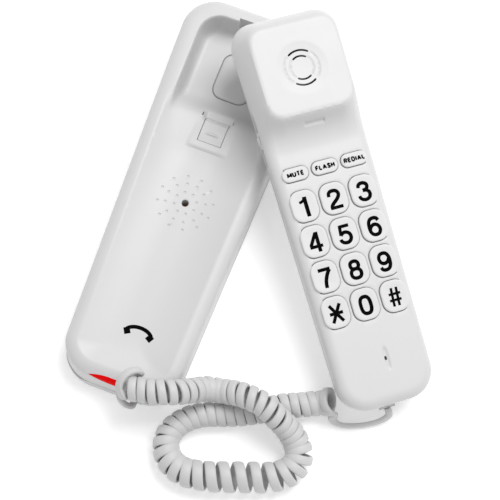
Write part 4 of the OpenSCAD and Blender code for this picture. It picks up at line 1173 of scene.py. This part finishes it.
def cord_route(pitch, opening):
    """The cord's centre line, and the way its thin side faces at each point."""
    axis = through(COIL_ROUTE, 24)
    step = np.linalg.norm(np.diff(axis, axis=0), axis=1)
    along = np.concatenate([[0], np.cumsum(step)])
    total = along[-1]
    fine = np.linspace(0, total, int(total / 0.1))
    centre = np.stack([np.interp(fine, along, axis[:, k]) for k in range(3)], 1)
    share = fine / total
    radius = COIL_END_R + (COIL_FRONT_R - COIL_END_R) * np.sin(
        math.pi * np.clip((share - 0.27) / 0.48, 0, 1)) ** 2 - CORD_THICK / 2
    radius = radius + COIL_FLARE * ease((share - 0.978) / 0.018)
    loose = ease((share - 0.41) / 0.06) * (1 - ease((share - 0.52) / 0.14))
    local_pitch = pitch + opening * loose
    turns = np.concatenate([[0], np.cumsum(np.diff(fine) / local_pitch[:-1])])
    whole = math.floor(turns[-1])
    turns *= whole / turns[-1]
    angle = 2 * math.pi * turns + math.pi
    d, level, up = upright_frames(centre)
    rows = int(whole * 26)
    at = np.interp(np.linspace(0, whole, rows), turns, np.arange(len(fine)))

    def pick(values):
        low = np.floor(at).astype(int)
        high = np.minimum(low + 1, len(fine) - 1)
        part = (at - low).reshape(-1, *([1] * (values.ndim - 1)))
        return values[low] * (1 - part) + values[high] * part
    c, r, a, lv, u = pick(centre), pick(radius), pick(angle), pick(level), pick(up)
    face = np.cos(a)[:, None] * lv + np.sin(a)[:, None] * u
    wide = np.interp(at / (len(fine) - 1), (0, 0.36, 0.55, 0.75, 1), (1, 1, 1.28, 1.1, 1.05))
    return c + r[:, None] * face, face, wide


def whole_cord(pitch, opening):
    """Route, facing and relative width of the cord from the base's jack to the handset's."""
    coil, face, wide = cord_route(pitch, opening)
    head = through(TAIL_BASE_ROUTE + [tuple(coil[0]), tuple(coil[3])], 8)[:-9]
    tail = through([tuple(coil[-4]), tuple(coil[-1])] + TAIL_HANDSET_ROUTE, 8)[9:]
    middle = np.array([9.0, -108.6, 30.5])
    out = head - middle
    out /= np.linalg.norm(out, axis=1)[:, None]
    end_face = np.array([0.3, -1.0, 0.1])
    s = ease(np.linspace(0, 1, len(tail)) * 3)[:, None]
    tail_face = face[-1] * (1 - s) + end_face * s
    line = np.vstack([head, coil, tail])
    facing = np.vstack([out, face, tail_face])
    width = np.concatenate([np.linspace(0.8, 1, len(head)), wide, np.linspace(wide[-1], 0.8, len(tail))])
    keep = [0]
    for i in range(1, len(line)):
        if np.linalg.norm(line[i] - line[keep[-1]]) > 0.35:
            keep.append(i)
    return line[keep], facing[keep], width[keep]


def ribbon(line, facing, width):
    """A closed flat-oval tube along a line, its thin side facing as given."""
    d = np.gradient(line, axis=0)
    d /= np.linalg.norm(d, axis=1)[:, None]
    f = facing - (facing * d).sum(1)[:, None] * d
    f /= np.linalg.norm(f, axis=1)[:, None]
    w = np.cross(d, f)
    section = oval(0, 0, CORD_WIDTH / 2, CORD_THICK / 2, 3.0, 16)[:-1]
    rings = [p + section[:, :1] * wi * k + section[:, 1:] * fi for p, wi, fi, k in zip(line, w, f, width)]
    sheet = Sheet()
    sheet.loft(rings, cap_start=True, cap_end=True)
    return sheet


class TELEPHONE_OT_cord(bpy.types.Operator):
    """Wind the curly cord from the base to the handset"""
    bl_idname = "telephone.cord"
    bl_label = "Curly cord"

    def execute(self, context):
        sizes = context.scene.telephone_sizes
        line, facing, width = whole_cord(sizes.coil_pitch / MM, sizes.coil_open / MM)
        sheet = ribbon(line, facing, width)
        obj = make_piece("curly_cord", as_mesh(sheet, "curly_cord", merge=0), None, ["cord_vinyl"],
                         ["cord_coil", "cord_tail_base", "cord_tail_handset"], sharp=60)
        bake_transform(obj)
        return {"FINISHED"}


# ---------------------------------------------------------------- pieces kept from the CAD

KEPT = {
    "shell_plastic": ["base_back_cover"],
    "steel": ["base_screws", "base_board_screws", "hook_spring", "handset_screws", "handset_board_screws",
              "handset_weight"],
    "brass": ["grille_screw"],
    "pad_rubber": ["base_pads", "microphone_boot"],
    # The keypad mat's near-black also paints shade into the gaps round the keys
    "mat_rubber": ["keypad_mat"],
    "circuit_board": ["base_board", "jack_board", "hook_board", "handset_board"],
    "jack_plastic": ["cord_jack_base", "line_jack", "cord_jack_handset"],
    "plug_clear": ["plug_base", "plug_handset"],
    # The receiver's near-black paints the shade seen through the earpiece slots
    "capsule_black": ["ringer", "receiver", "receiver_gasket", "hook_switch", "volume_switch"],
    "capsule_metal": ["microphone"],
    "lamp_glass": ["ring_led"],
}


class TELEPHONE_OT_kept_parts(bpy.types.Operator):
    """Give the parts kept from the CAD their finishes and soft edges"""
    bl_idname = "telephone.kept_parts"
    bl_label = "Kept parts"

    def execute(self, context):
        for finish, names in KEPT.items():
            for name in names:
                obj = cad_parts[name]
                obj.data.materials.clear()
                obj.data.materials.append(bpy.data.materials[finish])
                soft = obj.modifiers.new("soft_edges", "BEVEL")
                soft.width, soft.segments = 0.25 * MM, 2
                soft.limit_method, soft.angle_limit = "ANGLE", math.radians(40)
                soft.use_clamp_overlap = True
        return {"FINISHED"}


# ---------------------------------------------------------------- stage

class TELEPHONE_OT_stage(bpy.types.Operator):
    """Set the floor, the lights and the camera"""
    bl_idname = "telephone.stage"
    bl_label = "Stage"

    def execute(self, context):
        scene, stage = context.scene, context.scene.telephone_stage
        plastic("stage_floor", stage.floor, 0.9, grain=0.2, bump=0.02, spread=0.004, dust=0.1,
                Emission_Color=(1, 1, 1, 1), Emission_Strength=stage.glow)
        bpy.ops.mesh.primitive_plane_add(size=6, location=(0, 0, -0.0003))
        floor = context.object
        floor.name = "stage_floor"
        floor.data.materials.append(bpy.data.materials["stage_floor"])
        world = bpy.data.worlds.new("studio")
        scene.world = world
        world.use_nodes = True
        sky = world.node_tree.nodes["Background"]
        sky.inputs["Color"].default_value = (1, 1, 1, 1)
        sky.inputs["Strength"].default_value = stage.sky
        self.light("key_light", (0.30, 0.55, 1.2), 0.8, stage.key_power)
        camera = bpy.data.cameras.new("camera")
        camera.lens, camera.sensor_width = CAMERA_LENS, 36.0
        view = bpy.data.objects.new("camera", camera)
        scene.collection.objects.link(view)
        up, turn = math.radians(CAMERA_UP), math.radians(CAMERA_ROUND)
        back = Vector((math.sin(turn) * math.cos(up), -math.cos(turn) * math.cos(up), math.sin(up)))
        view.location = Vector(CAMERA_AIM) + back * CAMERA_AWAY
        view.rotation_euler = (-back).to_track_quat("-Z", "Y").to_euler()
        scene.camera = view
        scene.view_settings.view_transform = "Standard"
        scene.view_settings.look = "None"
        return {"FINISHED"}

    def light(self, name, place, size, power):
        lamp = bpy.data.lights.new(name, "AREA")
        lamp.shape, lamp.size, lamp.energy = "DISK", size, power
        obj = bpy.data.objects.new(name, lamp)
        obj.location = place
        obj.rotation_euler = (Vector((0.04, -0.02, 0)) - Vector(place)).to_track_quat("-Z", "Y").to_euler()
        bpy.context.scene.collection.objects.link(obj)


# ---------------------------------------------------------------- add-on

OPERATORS = (TELEPHONE_OT_finishes, TELEPHONE_OT_cord, TELEPHONE_OT_base_front, TELEPHONE_OT_base_fittings,
             TELEPHONE_OT_base_mark, TELEPHONE_OT_handset_front, TELEPHONE_OT_handset_back, TELEPHONE_OT_keys,
             TELEPHONE_OT_volume_slider, TELEPHONE_OT_kept_parts, TELEPHONE_OT_stage)
SETTINGS = (TelephoneSizes, TelephoneColours, TelephoneStage)


class TELEPHONE_PT_panel(bpy.types.Panel):
    """Lists the telephone's settings and the pieces that can be built"""
    bl_label = "Slimline wall telephone"
    bl_idname = "TELEPHONE_PT_panel"
    bl_space_type = "VIEW_3D"
    bl_region_type = "UI"
    bl_category = "Telephone"

    def draw(self, context):
        for group in (context.scene.telephone_sizes, context.scene.telephone_colours,
                      context.scene.telephone_stage):
            for key in group.__annotations__:
                self.layout.prop(group, key)
        for operator in OPERATORS:
            self.layout.operator(operator.bl_idname)


def register():
    for cls in SETTINGS + OPERATORS + (TELEPHONE_PT_panel,):
        bpy.utils.register_class(cls)
    bpy.types.Scene.telephone_sizes = PointerProperty(type=TelephoneSizes)
    bpy.types.Scene.telephone_colours = PointerProperty(type=TelephoneColours)
    bpy.types.Scene.telephone_stage = PointerProperty(type=TelephoneStage)


def unregister():
    del bpy.types.Scene.telephone_stage
    del bpy.types.Scene.telephone_colours
    del bpy.types.Scene.telephone_sizes
    for cls in reversed(SETTINGS + OPERATORS + (TELEPHONE_PT_panel,)):
        bpy.utils.unregister_class(cls)


def main():
    register()
    bpy.ops.telephone.finishes()
    bpy.ops.telephone.stage()
    bpy.ops.telephone.cord()
    bpy.ops.telephone.base_front()
    bpy.ops.telephone.base_fittings()
    bpy.ops.telephone.base_mark()
    bpy.ops.telephone.handset_front()
    bpy.ops.telephone.handset_back()
    bpy.ops.telephone.keys()
    bpy.ops.telephone.volume_slider()
    bpy.ops.telephone.kept_parts()


if __name__ == "__main__":
    main()
